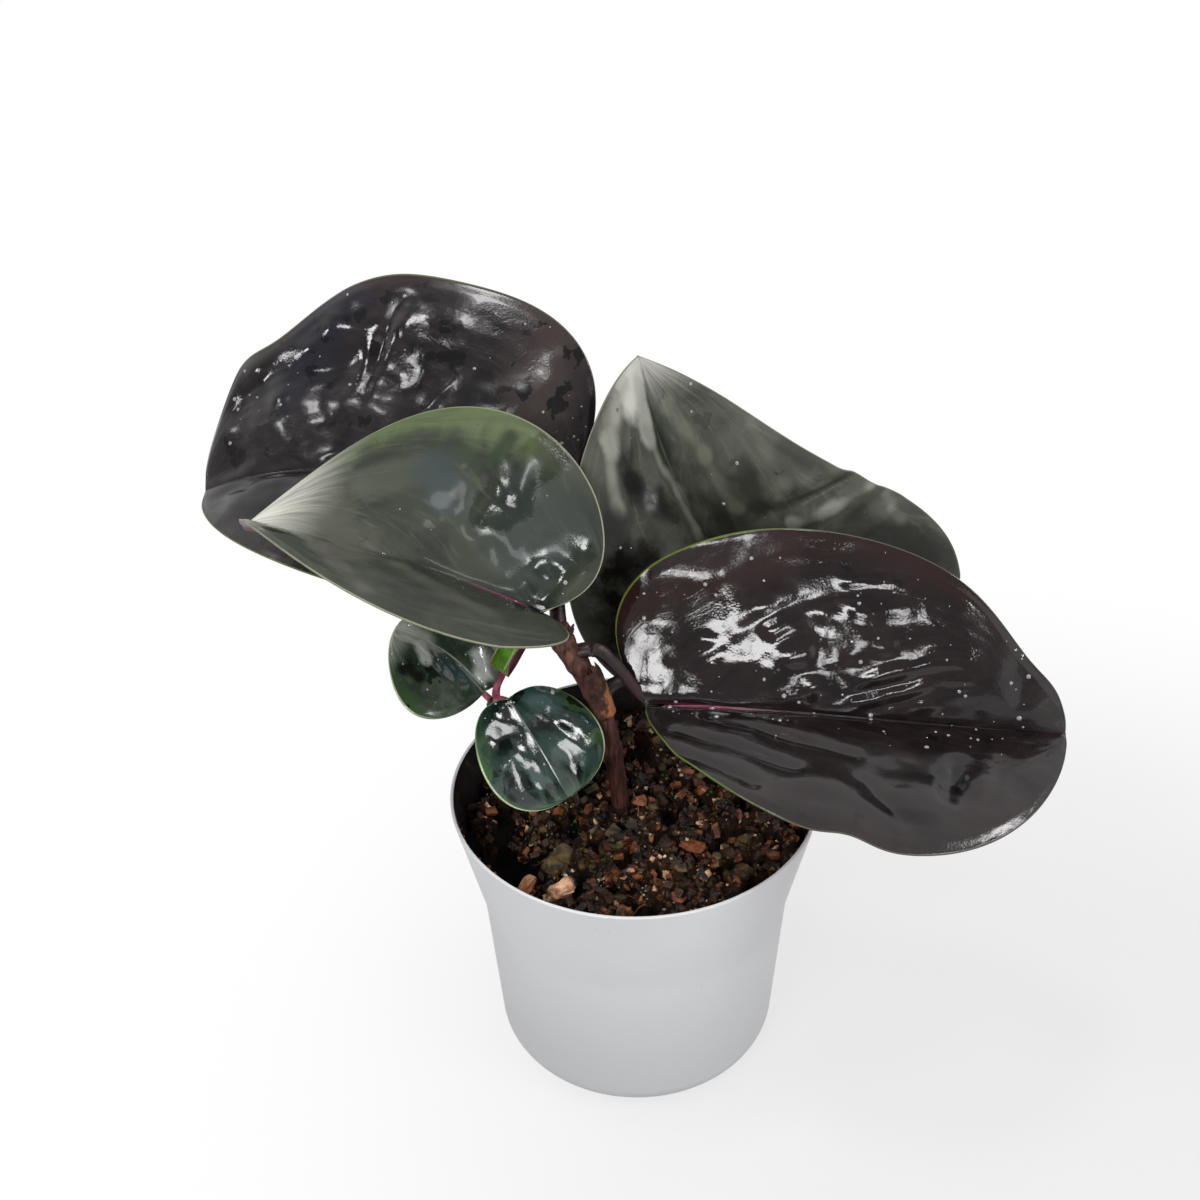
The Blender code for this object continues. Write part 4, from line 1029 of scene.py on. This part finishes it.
class GEOGENANTHUS_OT_grit(bpy.types.Operator):
    """Scatter crumbs, bark, perlite and sand over the soil"""
    bl_idname = "geogenanthus.grit"
    bl_label = "Crumbs and grit"

    def execute(self, context):
        materials = lump_finishes()
        for order, (name, (count, low, high, flatness, proud, finish, slot)) in enumerate(GRAINS.items()):
            chance = random.Random(100 + order)
            bm = bmesh.new()
            laid = 0
            while laid < count:
                x, y = random_spot(chance, GRAIN_REACH)
                size = low + (high - low) * chance.random() ** 2
                if not open_spot(x, y) or chance.random() < 1.2 * void(x, y):
                    continue
                height = crumbly_height(x, y) + size * flatness * (proud - 0.25)
                rough_lump(bm, chance, Vector((x, y, height)), size, flatness)
                laid += 1
            bmesh.ops.recalc_face_normals(bm, faces=bm.faces)
            add_piece(name, bm, [materials[finish]], sharp=GRAIN_SHARP)
        return {"FINISHED"}


# Finishes of what lies loose on the soil: dark tone, light tone, roughness, how thin its layers are
LUMP_TONES = {
    "crumb": ((0.0022, 0.0012, 0.0008), (0.046, 0.018, 0.007), 0.32, 0),
    "red_bark": ((0.01, 0.0028, 0.0014), (0.25, 0.078, 0.026), 0.34, 3),
    "tan_bark": ((0.24, 0.095, 0.045), (0.82, 0.5, 0.31), 0.55, 3),
    "orange_bark": ((0.34, 0.11, 0.035), (0.85, 0.47, 0.26), 0.5, 3),
    "olive_bark": ((0.012, 0.008, 0.003), (0.135, 0.088, 0.03), 0.4, 3),
    "perlite": ((0.42, 0.38, 0.3), (0.72, 0.68, 0.58), 0.85, 0),
    "sand": ((0.32, 0.22, 0.12), (0.85, 0.72, 0.52), 0.35, 0),
}


def lump_finishes():
    """The finishes of everything loose on the soil, made once."""
    made = {}
    for name, (dark, light, rough, layers) in LUMP_TONES.items():
        found = bpy.data.materials.get(name)
        made[name] = found or lump_finish(name, dark, light, rough, layers)
    return made


# Lean of the chips about y and x, in degrees, how far their boxes are sheared, how much of their
# shortest side is cut off at each edge, and their edges' sharp angle
CHIP_LEAN = (-8.0, 12.0)
CHIP_SHEAR = (0.32, -0.24)
CHIP_CHAMFER = 0.26
CHIP_SHARP = 38.0


class GEOGENANTHUS_OT_chips(bpy.types.Operator):
    """Build the large bark chips bedded in the soil"""
    bl_idname = "geogenanthus.chips"
    bl_label = "Bark chips"

    def execute(self, context):
        materials = lump_finishes()
        about_y, about_x = (math.radians(lean) for lean in CHIP_LEAN)
        tilt = Matrix.Rotation(about_y, 4, "Y") @ Matrix.Rotation(about_x, 4, "X")
        for order, (name, ((x, y), size, turn, finish)) in enumerate(CHIPS.items()):
            bm = bmesh.new()
            extents = Matrix.Diagonal([extent * MM for extent in size] + [1.0])
            bmesh.ops.create_cube(bm, size=1.0, matrix=extents)
            bmesh.ops.bevel(bm, geom=bm.edges, offset=CHIP_CHAMFER * min(size) * MM, segments=1, profile=0.5,
                            affect="EDGES", material=-1)
            bmesh.ops.transform(bm, verts=bm.verts, matrix=Matrix.Shear("XY", 4, CHIP_SHEAR))
            bmesh.ops.subdivide_edges(bm, edges=bm.edges, cuts=5, use_grid_fill=True)
            bmesh.ops.triangulate(bm, faces=bm.faces)
            bmesh.ops.recalc_face_normals(bm, faces=bm.faces)
            shift = Vector((order * 5.0, 2.0, 0.0))
            for vert in bm.verts:
                place = vert.co / MM + shift
                layer = noise.noise(Vector((place.x * 0.25, place.y * 0.25, place.z * 1.9)))
                vert.co += vert.normal * (0.40 * layer + 0.95 * noise.noise(place * 0.42) - 0.15) * MM
            place = Vector((x, y, soil_height(x, y) + size[2] * (CHIP_PROUD - 0.5))) * MM
            matrix = Matrix.Translation(place) @ Matrix.Rotation(math.radians(turn), 4, "Z") @ tilt
            bmesh.ops.transform(bm, verts=bm.verts, matrix=matrix)
            bmesh.ops.recalc_face_normals(bm, faces=bm.faces)
            add_piece("chip_of_" + name, bm, [materials[finish]], [name], sharp=CHIP_SHARP)
        return {"FINISHED"}


# Patches of moss on the soil: centre, spread, count of specks
MOSS_PATCHES = ((-9.0, -17.5, 2.2, 46), (6.0, 12.0, 5.0, 60), (-15.0, 1.0, 2.6, 34), (18.0, 3.0, 3.0, 30),
                (-25.0, -8.0, 2.0, 20))
RIM_CRUMBS = 70


class GEOGENANTHUS_OT_litter(bpy.types.Operator):
    """Lay root fibres and moss over the soil, and crumbs on the pot's rim"""
    bl_idname = "geogenanthus.litter"
    bl_label = "Fibres, moss and rim crumbs"

    def execute(self, context):
        settings = plant().soil
        chance = random.Random(7)
        bm = bmesh.new()
        for _ in range(settings.fibres):
            x, y = random_spot(chance, FIBRE_REACH)
            heading = chance.uniform(0, 2 * math.pi)
            points = []
            for _ in range(5):
                if math.hypot(x, y) > FIBRE_REACH + 2.0:
                    break
                points.append((x, y, crumbly_height(x, y) + chance.uniform(0.3, 1.3)))
                heading += chance.uniform(-0.9, 0.9)
                stride = chance.uniform(1.2, 2.6)
                x, y = x + stride * math.cos(heading), y + stride * math.sin(heading)
            if len(points) < 3:
                continue
            thick = chance.uniform(0.09, 0.22)
            tube(bm, smooth_route(points, 3), lambda share, _: thick * (1.1 - 0.7 * share), 10, 5)
        close_up(bm, 0.001)
        fibre = lump_finish("root_fibre", (0.09, 0.040, 0.016), (0.26, 0.13, 0.055), 0.7)
        add_piece("root_fibres", bm, [fibre])

        bm = bmesh.new()
        for centre_x, centre_y, spread, count in MOSS_PATCHES:
            for _ in range(count):
                x, y = centre_x + chance.gauss(0, spread), centre_y + chance.gauss(0, spread)
                if not open_spot(x, y):
                    continue
                size = chance.uniform(0.35, 0.9)
                rough_lump(bm, chance, Vector((x, y, crumbly_height(x, y) + 0.5)), size, 0.5)
        bmesh.ops.recalc_face_normals(bm, faces=bm.faces)
        moss = lump_finish("moss", shade(settings.moss, 0.4), shade(settings.moss, 1.8), 0.7)
        add_piece("moss_specks", bm, [moss])

        bm = bmesh.new()
        for _ in range(RIM_CRUMBS):
            angle = math.radians(chance.gauss(-80.0, 45.0))
            height = POT_HEIGHT - chance.uniform(0.0, 1.0) ** 2 * 5.0
            reach = wall_radius(plant().pot.wall / MM, height) - 0.05
            size = chance.uniform(0.25, 0.8)
            place = Vector((reach * math.cos(angle), reach * math.sin(angle), height - 0.1 * size))
            rough_lump(bm, chance, place, size, 0.7)
        bmesh.ops.recalc_face_normals(bm, faces=bm.faces)
        add_piece("rim_crumbs", bm, [lump_finishes()["red_bark"]])
        return {"FINISHED"}


# ---------------------------------------------------------------- stems

# Length of a stem's joints as a share of its own, and how far they stand out
NODE_LENGTH = 0.018
NODE_SWELL = 0.32


class GEOGENANTHUS_OT_stems(bpy.types.Operator):
    """Build the main stem and the side shoot with their joints"""
    bl_idname = "geogenanthus.stems"
    bl_label = "Stems"

    def execute(self, context):
        skin = stem_finish(plant().stem)
        for name, points in ROUTES.items():
            route = smooth_route(points, 8)
            low, high = STEM_RADII[name]
            joints = STEM_NODES[name]

            def radius(share, angle):
                reach = low + (high - low) * share
                swell = sum(math.exp(-((share - joint) / NODE_LENGTH) ** 2) for joint in joints)
                ridges = 0.05 * math.sin(7 * angle + 3 * share) + 0.04 * math.sin(13 * angle - 5 * share)
                rough = 0.16 * noise.noise(Vector((2 * math.cos(angle), 2 * math.sin(angle), share * 16)))
                taper = 1.0 - 0.3 * smooth_step(0.97, 1.0, share)
                return (reach + NODE_SWELL * swell + ridges + rough) * taper

            bm = bmesh.new()
            tube(bm, route, radius, 150, 36)
            close_up(bm, 0.002)
            add_piece(name + "_skin", bm, [skin], [name])
        return {"FINISHED"}


# Facets of a sheath across and along it, and its thickness
SHEATH_STEPS = (44, 36)
SHEATH_THICKNESS = 0.22


class GEOGENANTHUS_OT_sheaths(bpy.types.Operator):
    """Build the dry papery sheaths that wrap the stems"""
    bl_idname = "geogenanthus.sheaths"
    bl_label = "Dry sheaths"

    def execute(self, context):
        paper = sheath_finish(plant().stem)
        for order, (name, (stem, (low, high), turn, angle, flare)) in enumerate(SHEATHS.items()):
            route = smooth_route(ROUTES[stem], 4)
            radii = STEM_RADII[stem]
            bm = bmesh.new()
            bmesh.ops.create_grid(bm, x_segments=SHEATH_STEPS[0], y_segments=SHEATH_STEPS[1], size=1.0)
            for vert in bm.verts:
                share, across = (vert.co.y + 1) / 2, vert.co.x
                torn = 1.0 - 0.22 * max(noise.noise(Vector((across * 3.0, order * 9.0, 1.0))), -0.4) * share
                reach = low + (high - low) * share * torn
                centre, axis = along_route(route, reach)
                ragged = 0.16 * noise.noise(Vector((order * 4.0, share * 4.0, 2.0)))
                narrow = 1.0 - 0.55 * share * share + ragged
                around = math.radians(turn + across * angle / 2 * narrow)
                outward = Matrix.Rotation(around, 3, axis) @ (Vector((1, 0, 0)) - axis * axis.x).normalized()
                lift = radii[0] + (radii[1] - radii[0]) * reach + 0.65 + flare * share * share
                lift += 0.18 * noise.noise(Vector((across * 5.0, share * 3.0, order * 5.0)))
                lift += 0.05 * math.sin(across * 24) + 0.35 * abs(across) ** 3 * share
                vert.co = (centre + outward * lift) * MM
            bmesh.ops.recalc_face_normals(bm, faces=bm.faces)
            piece = add_piece(name + "_paper", bm, [paper], [name])
            thicken = piece.modifiers.new("thickness", "SOLIDIFY")
            thicken.thickness = SHEATH_THICKNESS * MM
            thicken.offset = 1.0
        return {"FINISHED"}


# ---------------------------------------------------------------- leaves

def half_of(v):
    """Which half of a blade a place lies in: 0 for the left one, 1 for the right one."""
    return 0 if v >= 0 else 1


class Blade:
    """A leaf blade: u runs from its base to its tip, v from its right margin to its left one."""

    def __init__(self, name):
        self.form, self.detail = LEAVES[name], RELIEF[name]
        self.base, tip = Vector(self.form["base"]), Vector(self.form["tip"])
        self.length = (tip - self.base).length
        self.along = (tip - self.base).normalized()
        up = (Vector((0, 0, 1)) - self.along * self.along.z).normalized()
        self.up = Matrix.Rotation(-math.radians(self.form["roll"]), 3, self.along) @ up
        self.left = self.up.cross(self.along)
        self.peak = max(self.outline(math.pi * i / 90) for i in range(91))
        self.margins = {}

    def outline(self, turn):
        """Distance of the margin from the midrib, before scaling, from the base at 0 to the tip at pi."""
        return (math.sin(turn) * (1 + self.form["egg"] * math.cos(turn))
                * max(math.cos(turn / 2), 1e-9) ** self.form["point"])

    def margin(self, side, u):
        """Margin of one half: share of the length, and distance from the midrib."""
        key = (side, round(u, 6))
        if key not in self.margins:
            turn = math.pi * u
            reach = self.form["width"][side] * self.outline(turn) / self.peak
            for dent_side, place, size, spread in self.form["dents"]:
                if dent_side == ("left", "right")[side]:
                    reach *= 1.0 + size * math.exp(-((u - place) / spread) ** 2)
            lobe = self.form["lobe"][side] * math.sin(turn) * (1 + math.cos(turn)) / 2
            self.margins[key] = ((1 - math.cos(turn)) / 2 - lobe, reach)
        return self.margins[key]

    def share(self, u, v):
        """Share of the length that a place lies at, and how far the margin is from the midrib there."""
        edge, reach = self.margin(half_of(v), u)
        middle = (1 - math.cos(math.pi * u)) / 2
        return (1 - abs(v)) * middle + abs(v) * edge, reach

    def flat(self, u, v):
        """The place as if the blade were pressed flat: millimetres along and across."""
        share, reach = self.share(u, v)
        return Vector((share * self.length, v * reach))

    def surface(self, u, v):
        """Point in the middle of the blade's thickness without relief, and the way its face looks."""
        form, side = self.form, half_of(v)
        arch, bow, skew = form["arch"], form["bow"], form["skew"]
        share, reach = self.share(u, v)
        inside, below = min(max(share, 0.0), 1.0), min(share, 0.0)
        lean = 1 + skew * (2 * inside - 1)
        hump = 4 * inside * (1 - inside)
        slope = arch * 4 * ((1 - 2 * inside) * lean + 2 * skew * inside * (1 - inside))
        bend = bow * 4 * (1 - 2 * inside)
        rise, drift = arch * hump * lean + slope * below, bow * hump + bend * below
        centre = self.base + self.length * (share * self.along + rise * self.up + drift * self.left)
        ahead = (self.along + slope * self.up + bend * self.left).normalized()
        facing = (self.up - ahead * self.up.dot(ahead)).normalized()
        facing = Matrix.Rotation(-math.radians(form["twist"] * inside), 3, ahead) @ facing
        across = facing.cross(ahead) * (1 - 2 * side)
        fold = math.radians(form["fold"][side])
        radius = form["width"][side] / math.radians(form["curl"][side] or 0.1)
        angle = fold + abs(v) * reach / radius
        out = radius * (math.sin(angle) - math.sin(fold))
        lift = -radius * (math.cos(angle) - math.cos(fold))
        return centre + out * across + lift * facing, facing * math.cos(angle) - across * math.sin(angle)

    def lane(self, place, v):
        """Which lane a place lies in: the long veins leave the base and the midrib and bend to the tip."""
        wander = noise.noise(Vector((place.x * 0.045, place.y * 0.06, self.detail["seed"])))
        count, fan = self.detail["lanes"]
        bent = fan * (1 - abs(v)) * place.x / self.length
        return abs(v) * count - bent + 0.45 * wander * min(4 * abs(v), 1.0)

    def pillow(self, place, v):
        """Height between two long veins, from 0 on a vein to 1 halfway to the next."""
        return 0.5 - 0.5 * math.cos(2 * math.pi * self.lane(place, v))

    def dome(self, place, v):
        """Height of the quilted patches, from 0 in the seams between them to 1 on their crowns."""
        spot = Vector((place.x / self.detail["domes"][2], self.lane(place, v), self.detail["seed"]))
        near, next_near = noise.voronoi(spot)[0][:2]
        return smooth_step(-0.1, 1.0, next_near - near)

    def quilting(self, place, v, share, reach):
        """Height of the pillows, domes and ripples between the veins, in millimetres."""
        detail, side = self.detail, half_of(v)
        spot = Vector((place.x, place.y, detail["seed"] * 3.1))
        drift = noise.noise(spot * 0.07 + Vector((0.0, 5.0, 0.0))) + 0.8 * noise.noise(spot * 0.15)
        patchy = 0.1 + 1.4 * smooth_step(-0.35, 0.40, drift)
        room = min(reach / self.form["width"][side], 1.0) ** 2 * smooth_step(0.98, 0.35, share)
        height = detail["pillow"][side] * self.pillow(place, v) * patchy * room
        if detail["domes"][side]:
            height += detail["domes"][side] * self.dome(place, v) * (0.5 + 0.5 * patchy)
        for order, (rise, length) in enumerate(detail["ripples"]):
            height += 1.6 * rise * noise.noise(spot / (0.5 * length) + Vector((0.0, 0.0, 7.0 * order)))
        return height * plant().leaf.quilting * (1 - abs(v) ** 3) * smooth_step(0.0, 5.0, abs(v) * reach)

    def creasing(self, place):
        """Height of the puckers and ridges less the depth of the creases, in millimetres."""
        height = 0.0
        for start, end, depth, width in self.detail["creases"]:
            offset, run = place - Vector(start), Vector(end) - Vector(start)
            passed = min(max(offset.dot(run) / run.length_squared, 0.0), 1.0)
            off = (offset - run * passed).length / width
            swell = 0.35 + 0.65 * math.sin(math.pi * (0.15 + 0.7 * passed))
            height -= depth * math.exp(-off * off) * swell
        for along, across, long, wide, rise in self.detail["puckers"]:
            height += rise * math.exp(-((place.x - along) / long) ** 2 - ((place.y - across) / wide) ** 2)
        return height

    def relief(self, u, v):
        """Height of the puckered surface over the smooth one, in millimetres."""
        share, reach = self.share(u, v)
        place = self.flat(u, v)
        groove = (self.detail["groove"] * math.exp(-(v * reach / 1.5) ** 2)
                  * (1 - 0.8 * min(max(share, 0), 1)))
        height = self.quilting(place, v, share, reach) + self.creasing(place) - groove
        return height * smooth_step(0.0, 0.06, u) * (1 - smooth_step(0.94, 1.0, u))

    def place(self, u, v):
        """Point in the middle of the blade's thickness with its relief, and the way its face looks."""
        point, facing = self.surface(u, v)
        return point + facing * self.relief(u, v), facing


def make_blade(name, materials):
    """The blade as a thin sheet with its relief, thinner at the margin than in the middle."""
    blade = Blade(name)
    detail = blade.detail
    bm = bmesh.new()
    weights = bm.verts.layers.deform.verify()
    maps = bm.verts.layers.float_vector.new("blade_map")
    lanes = bm.verts.layers.float_vector.new("blade_lanes")
    bmesh.ops.create_grid(bm, x_segments=detail["steps"][0], y_segments=detail["steps"][1], size=1.0)
    for vert in bm.verts:
        u, v = (vert.co.x + 1) / 2, vert.co.y
        share, reach = blade.share(u, v)
        edge = (1 - abs(v)) * reach
        pressed = blade.flat(u, v)
        vert[maps] = (pressed.x, pressed.y, edge)
        vert[lanes] = (math.copysign(1, v) * blade.lane(pressed, v), blade.pillow(pressed, v), share)
        vert[weights][0] = smooth_step(0.0, 3.5, edge)
        vert.co = blade.place(u, v)[0] * MM
    bmesh.ops.remove_doubles(bm, verts=bm.verts, dist=0.02 * MM)
    bmesh.ops.dissolve_degenerate(bm, edges=bm.edges, dist=0.02 * MM)
    piece = add_piece(name + "_blade", bm, materials, [name])
    piece.vertex_groups.new(name="body")
    thicken = piece.modifiers.new("thickness", "SOLIDIFY")
    thicken.thickness = detail["thickness"] * MM
    thicken.offset = 0.0
    thicken.vertex_group = "body"
    thicken.thickness_vertex_group = plant().leaf.edge
    thicken.material_offset = 1
    thicken.material_offset_rim = 2
    return blade


# How far each keel point lies along the blade, and how deep in shares of the stalk's thin end
KEEL = ((0.02, 1.0), (0.16, 0.95), (0.3, 0.85), (0.45, 0.7), (0.6, 0.55))


def make_stalk(name, blade, material):
    """The leaf stalk, which runs on under the blade as its keel."""
    thick, thin = blade.detail["stalk"]
    petiole = blade.form["petiole"]
    route = list(petiole)
    for u, sink in KEEL:
        point, facing = blade.place(u, 0.0)
        route.append(point - facing * (thin * sink + 0.25))
    joined = len(petiole) / (len(petiole) + len(KEEL) - 1)

    def radius(share, angle):
        if share < joined:
            body = thick + (thin - thick) * share / joined
        else:
            body = thin * (1.0 - 0.85 * (share - joined) / (1.0 - joined))
        rough = 0.03 * noise.noise(Vector((angle, share * 20, 0)))
        return body * (1.0 + 0.05 * math.sin(3 * angle + 4 * share) + rough)

    bm = bmesh.new()
    tube(bm, smooth_route(route, 6), radius, 90, 20)
    close_up(bm, 0.002)
    add_piece(name + "_stalk", bm, [material], [name])


def grow_leaves(slots, stalk):
    """Make some of the leaves, each a blade with its three finishes and its stalk."""
    for name, slot in slots.items():
        tones = BLADE_TONES[name]
        materials = [blade_finish(name + "_face", tones),
                     underside_finish(name + "_underside", plant().leaf.underside),
                     rim_finish(name + "_rim", *tones["margin"][:2])]
        make_stalk(name, make_blade(name, materials), stalk)


# Slot of each leaf
LARGE_LEAVES = {"leaf_front_left": "grey_leaf", "leaf_back_left": "dark_leaf",
                "leaf_back_right": "grey_leaf", "leaf_front_right": "dark_leaf"}
SMALL_LEAVES = {"small_leaf_left": "teal_leaf", "small_leaf_front": "teal_leaf", "young_leaf": "young_leaf"}


class GEOGENANTHUS_OT_large_leaves(bpy.types.Operator):
    """Build the four large leaves with their stalks"""
    bl_idname = "geogenanthus.large_leaves"
    bl_label = "Large leaves"

    def execute(self, context):
        grow_leaves(LARGE_LEAVES, stalk_finish(plant().stem))
        return {"FINISHED"}


class GEOGENANTHUS_OT_small_leaves(bpy.types.Operator):
    """Build the small leaves and the young leaf of the side shoot"""
    bl_idname = "geogenanthus.small_leaves"
    bl_label = "Small leaves"

    def execute(self, context):
        grow_leaves(SMALL_LEAVES, lump_finish("young_stalk", (0.16, 0.022, 0.05), (0.40, 0.10, 0.15), 0.45))
        return {"FINISHED"}


# Water droplets on each blade: count, range of v that they lie in, seed. The range of u and the
# smallest radius are the same for all.
DROPLET_STRETCH = (0.12, 0.80)
DROPLET_SMALLEST = 0.15
DROPLETS = {
    "leaf_front_right": (110, (-0.3, 0.95), 5),
    "leaf_back_left": (55, (-0.95, -0.2), 6),
    "leaf_back_right": (26, (-0.9, 0.6), 7),
    "leaf_front_left": (16, (-0.9, 0.4), 8),
    "small_leaf_front": (22, (-0.85, 0.85), 9),
    "small_leaf_left": (12, (-0.3, 0.85), 10),
}


class GEOGENANTHUS_OT_droplets(bpy.types.Operator):
    """Sprinkle small water droplets on the leaves"""
    bl_idname = "geogenanthus.droplets"
    bl_label = "Water droplets"

    def execute(self, context):
        water = water_finish()
        largest = plant().leaf.droplet / MM
        for name, (count, (low, high), seed) in DROPLETS.items():
            blade = Blade(name)
            chance = random.Random(seed)
            bm = bmesh.new()
            for _ in range(count):
                u, v = chance.uniform(*DROPLET_STRETCH), chance.uniform(low, high)
                size = DROPLET_SMALLEST + (largest - DROPLET_SMALLEST) * chance.random() ** 2.5
                point, facing = blade.place(u, v)
                centre = point + facing * (blade.detail["thickness"] / 2 + 0.1 * size)
                turn = facing.to_track_quat("Z", "Y").to_matrix().to_4x4()
                shape = Matrix.Diagonal((size * chance.uniform(0.8, 1.2), size, 0.55 * size, 1.0))
                matrix = Matrix.Translation(centre * MM) @ turn @ shape @ Matrix.Scale(MM, 4)
                bmesh.ops.create_icosphere(bm, subdivisions=2, radius=1.0, matrix=matrix)
            bmesh.ops.recalc_face_normals(bm, faces=bm.faces)
            add_piece("droplets_on_" + name, bm, [water])
        return {"FINISHED"}


# ---------------------------------------------------------------- stage

# Lamps: azimuth from the front towards the right, elevation, distance and size in metres. Each has the
# name of its power in the settings.
LAMPS = {
    "window": (-27, 31, 0.9, (0.38, 0.13)),
    "sill": (-3, 19, 0.9, (0.2, 0.08)),
    "high": (-72, 80, 1, (0.17, 0.14)),
    "left": (-66, 52, 1, (0.135, 0.12)),
    "low_left": (-90, 28, 1, (0.11, 0.11)),
    "right": (63, 41, 1, (0.28, 0.24)),
    "behind": (104, 43, 1, (0.18, 0.16)),
    "front": (45, 18, 1.3, (1.2, 1.2)),
}

# Camera: the place it looks at, its elevation in degrees, its distance, its roll in degrees and its lens
CAMERA_TARGET = (-7.38, 0.0, 131.58)
CAMERA_ELEVATION = 34.5
CAMERA_DISTANCE = 405.0
CAMERA_ROLL = -1.31
CAMERA_LENS = 53.7

# How white the floor shows, near the shadow and far from it, the distances over which that changes,
# and the middle of the shadow
FLOOR_GLOW = (0.64, 1.0)
FLOOR_GLOW_REACH = (0.05, 0.24)
FLOOR_GLOW_CENTRE = (0.11, -0.03, 0.0)
# How far back a direction points where the backdrop starts and where it is all white
BACKDROP_EDGE = (-0.1, 0.35)


def aim(name, data, azimuth, elevation, distance, roll=0.0):
    """Put a lamp or a camera at a distance from the plant, looking at it. Distance in metres."""
    a, e = math.radians(azimuth), math.radians(elevation)
    away = Vector((math.sin(a) * math.cos(e), -math.cos(a) * math.cos(e), math.sin(e)))
    holder = bpy.data.objects.new(name, data)
    holder.matrix_world = (Matrix.Translation(Vector(CAMERA_TARGET) * MM + away * distance)
                           @ (-away).to_track_quat("-Z", "Y").to_matrix().to_4x4()
                           @ Matrix.Rotation(math.radians(roll), 4, "Z"))
    bpy.context.scene.collection.objects.link(holder)
    return holder


def backdrop_rays(made):
    """1 for the rays that see the backdrop: straight, mirrored or through glass."""
    path = made.node("LightPath").outputs
    total = path["Is Camera Ray"]
    for name in ("Is Glossy Ray", "Is Transmission Ray"):
        total = made.math("ADD", total, path[name], clamp=True)
    return total


def floor_finish(settings):
    """Pale floor that holds the shadow near the pot and shows as plain white farther off."""
    made = Finish("floor_paint", 1.5, 0.1, Roughness=0.9)
    made.close(made.mix(made.noise(30.0), settings.floor, shade(settings.floor, 0.98)))
    glow = made.node("Emission", {"Color": (1.0, 1.0, 1.0), "Strength": 1.0})
    away = made.node("VectorMath", {0: made.position, 1: FLOOR_GLOW_CENTRE}, operation="DISTANCE")
    white = made.span(away.outputs["Value"], *FLOOR_GLOW_REACH, *FLOOR_GLOW)
    seen = made.times(backdrop_rays(made), white)
    both = made.node("MixShader", {0: seen, 1: made.shader.outputs[0], 2: glow.outputs[0]})
    made.set(made.tree.nodes["Material Output"].inputs["Surface"], both.outputs[0])
    return made.material


def studio_world(settings):
    """Even light all round, with a white backdrop behind the plant that its gloss can mirror."""
    world = bpy.data.worlds.new("studio")
    world.use_nodes = True
    made = Nodes(world.node_tree)
    look = made.split(made.node("TexCoord").outputs["Generated"])
    behind = made.span(look[1], *BACKDROP_EDGE)
    path = made.node("LightPath").outputs
    mirrored = made.times(made.plus(path["Is Glossy Ray"], path["Is Transmission Ray"]), behind)
    seen = made.math("ADD", path["Is Camera Ray"], mirrored, clamp=True)
    background = made.tree.nodes["Background"].inputs
    made.set(background["Color"], (1.0, 1.0, 1.0))
    made.set(background["Strength"], made.span(seen, 0.0, 1.0, settings.world, 1.0, "LINEAR"))
    return world


class GEOGENANTHUS_OT_stage(bpy.types.Operator):
    """Set the floor, the soft lights and the camera"""
    bl_idname = "geogenanthus.stage"
    bl_label = "Stage"

    def execute(self, context):
        settings = plant().stage
        scene = context.scene
        bm = bmesh.new()
        bmesh.ops.create_grid(bm, x_segments=2, y_segments=2, size=4.0)
        floor = add_object("floor", bm, [floor_finish(settings)])
        scene.world = studio_world(settings)
        for name, (azimuth, elevation, distance, size) in LAMPS.items():
            lamp = bpy.data.lights.new(name, "AREA")
            lamp.shape = "RECTANGLE"
            lamp.size, lamp.size_y = size
            lamp.energy = getattr(settings, name)
            aim(name, lamp, azimuth, elevation, distance)
        camera = bpy.data.cameras.new("camera")
        camera.lens, camera.sensor_width = CAMERA_LENS, 36.0
        camera.clip_start, camera.clip_end = 0.01, 20.0
        scene.camera = aim("camera", camera, 0.0, CAMERA_ELEVATION, CAMERA_DISTANCE * MM, CAMERA_ROLL)
        scene.view_settings.view_transform = "Standard"
        return {"FINISHED"}


# ---------------------------------------------------------------- add-on

OPERATORS = (GEOGENANTHUS_OT_pot, GEOGENANTHUS_OT_soil, GEOGENANTHUS_OT_grit, GEOGENANTHUS_OT_chips,
             GEOGENANTHUS_OT_litter, GEOGENANTHUS_OT_stems, GEOGENANTHUS_OT_sheaths,
             GEOGENANTHUS_OT_large_leaves, GEOGENANTHUS_OT_small_leaves, GEOGENANTHUS_OT_droplets,
             GEOGENANTHUS_OT_stage)


class GEOGENANTHUS_PT_panel(bpy.types.Panel):
    """The plant's pieces, one button each, and their settings"""
    bl_idname = "GEOGENANTHUS_PT_panel"
    bl_label = "Potted geogenanthus"
    bl_space_type = "VIEW_3D"
    bl_region_type = "UI"
    bl_category = "Geogenanthus"

    def draw(self, context):
        for operator in OPERATORS:
            self.layout.operator(operator.bl_idname)
        for group in ("pot", "soil", "stem", "leaf", "stage"):
            box = self.layout.box()
            box.label(text=group.capitalize())
            settings = getattr(context.scene.geogenanthus, group)
            for name in type(settings).__annotations__:
                box.prop(settings, name)


CLASSES = (PotSettings, SoilSettings, StemSettings, LeafSettings, StageSettings, PlantSettings,
           *OPERATORS, GEOGENANTHUS_PT_panel)


def register():
    for cls in CLASSES:
        bpy.utils.register_class(cls)
    bpy.types.Scene.geogenanthus = PointerProperty(type=PlantSettings)


def unregister():
    del bpy.types.Scene.geogenanthus
    for cls in reversed(CLASSES):
        bpy.utils.unregister_class(cls)


def main():
    register()
    build = bpy.ops.geogenanthus
    build.stage()
    build.pot()
    build.soil()
    build.grit()
    build.chips()
    build.litter()
    build.stems()
    build.sheaths()
    build.large_leaves()
    build.small_leaves()
    build.droplets()


if __name__ == "__main__":
    main()
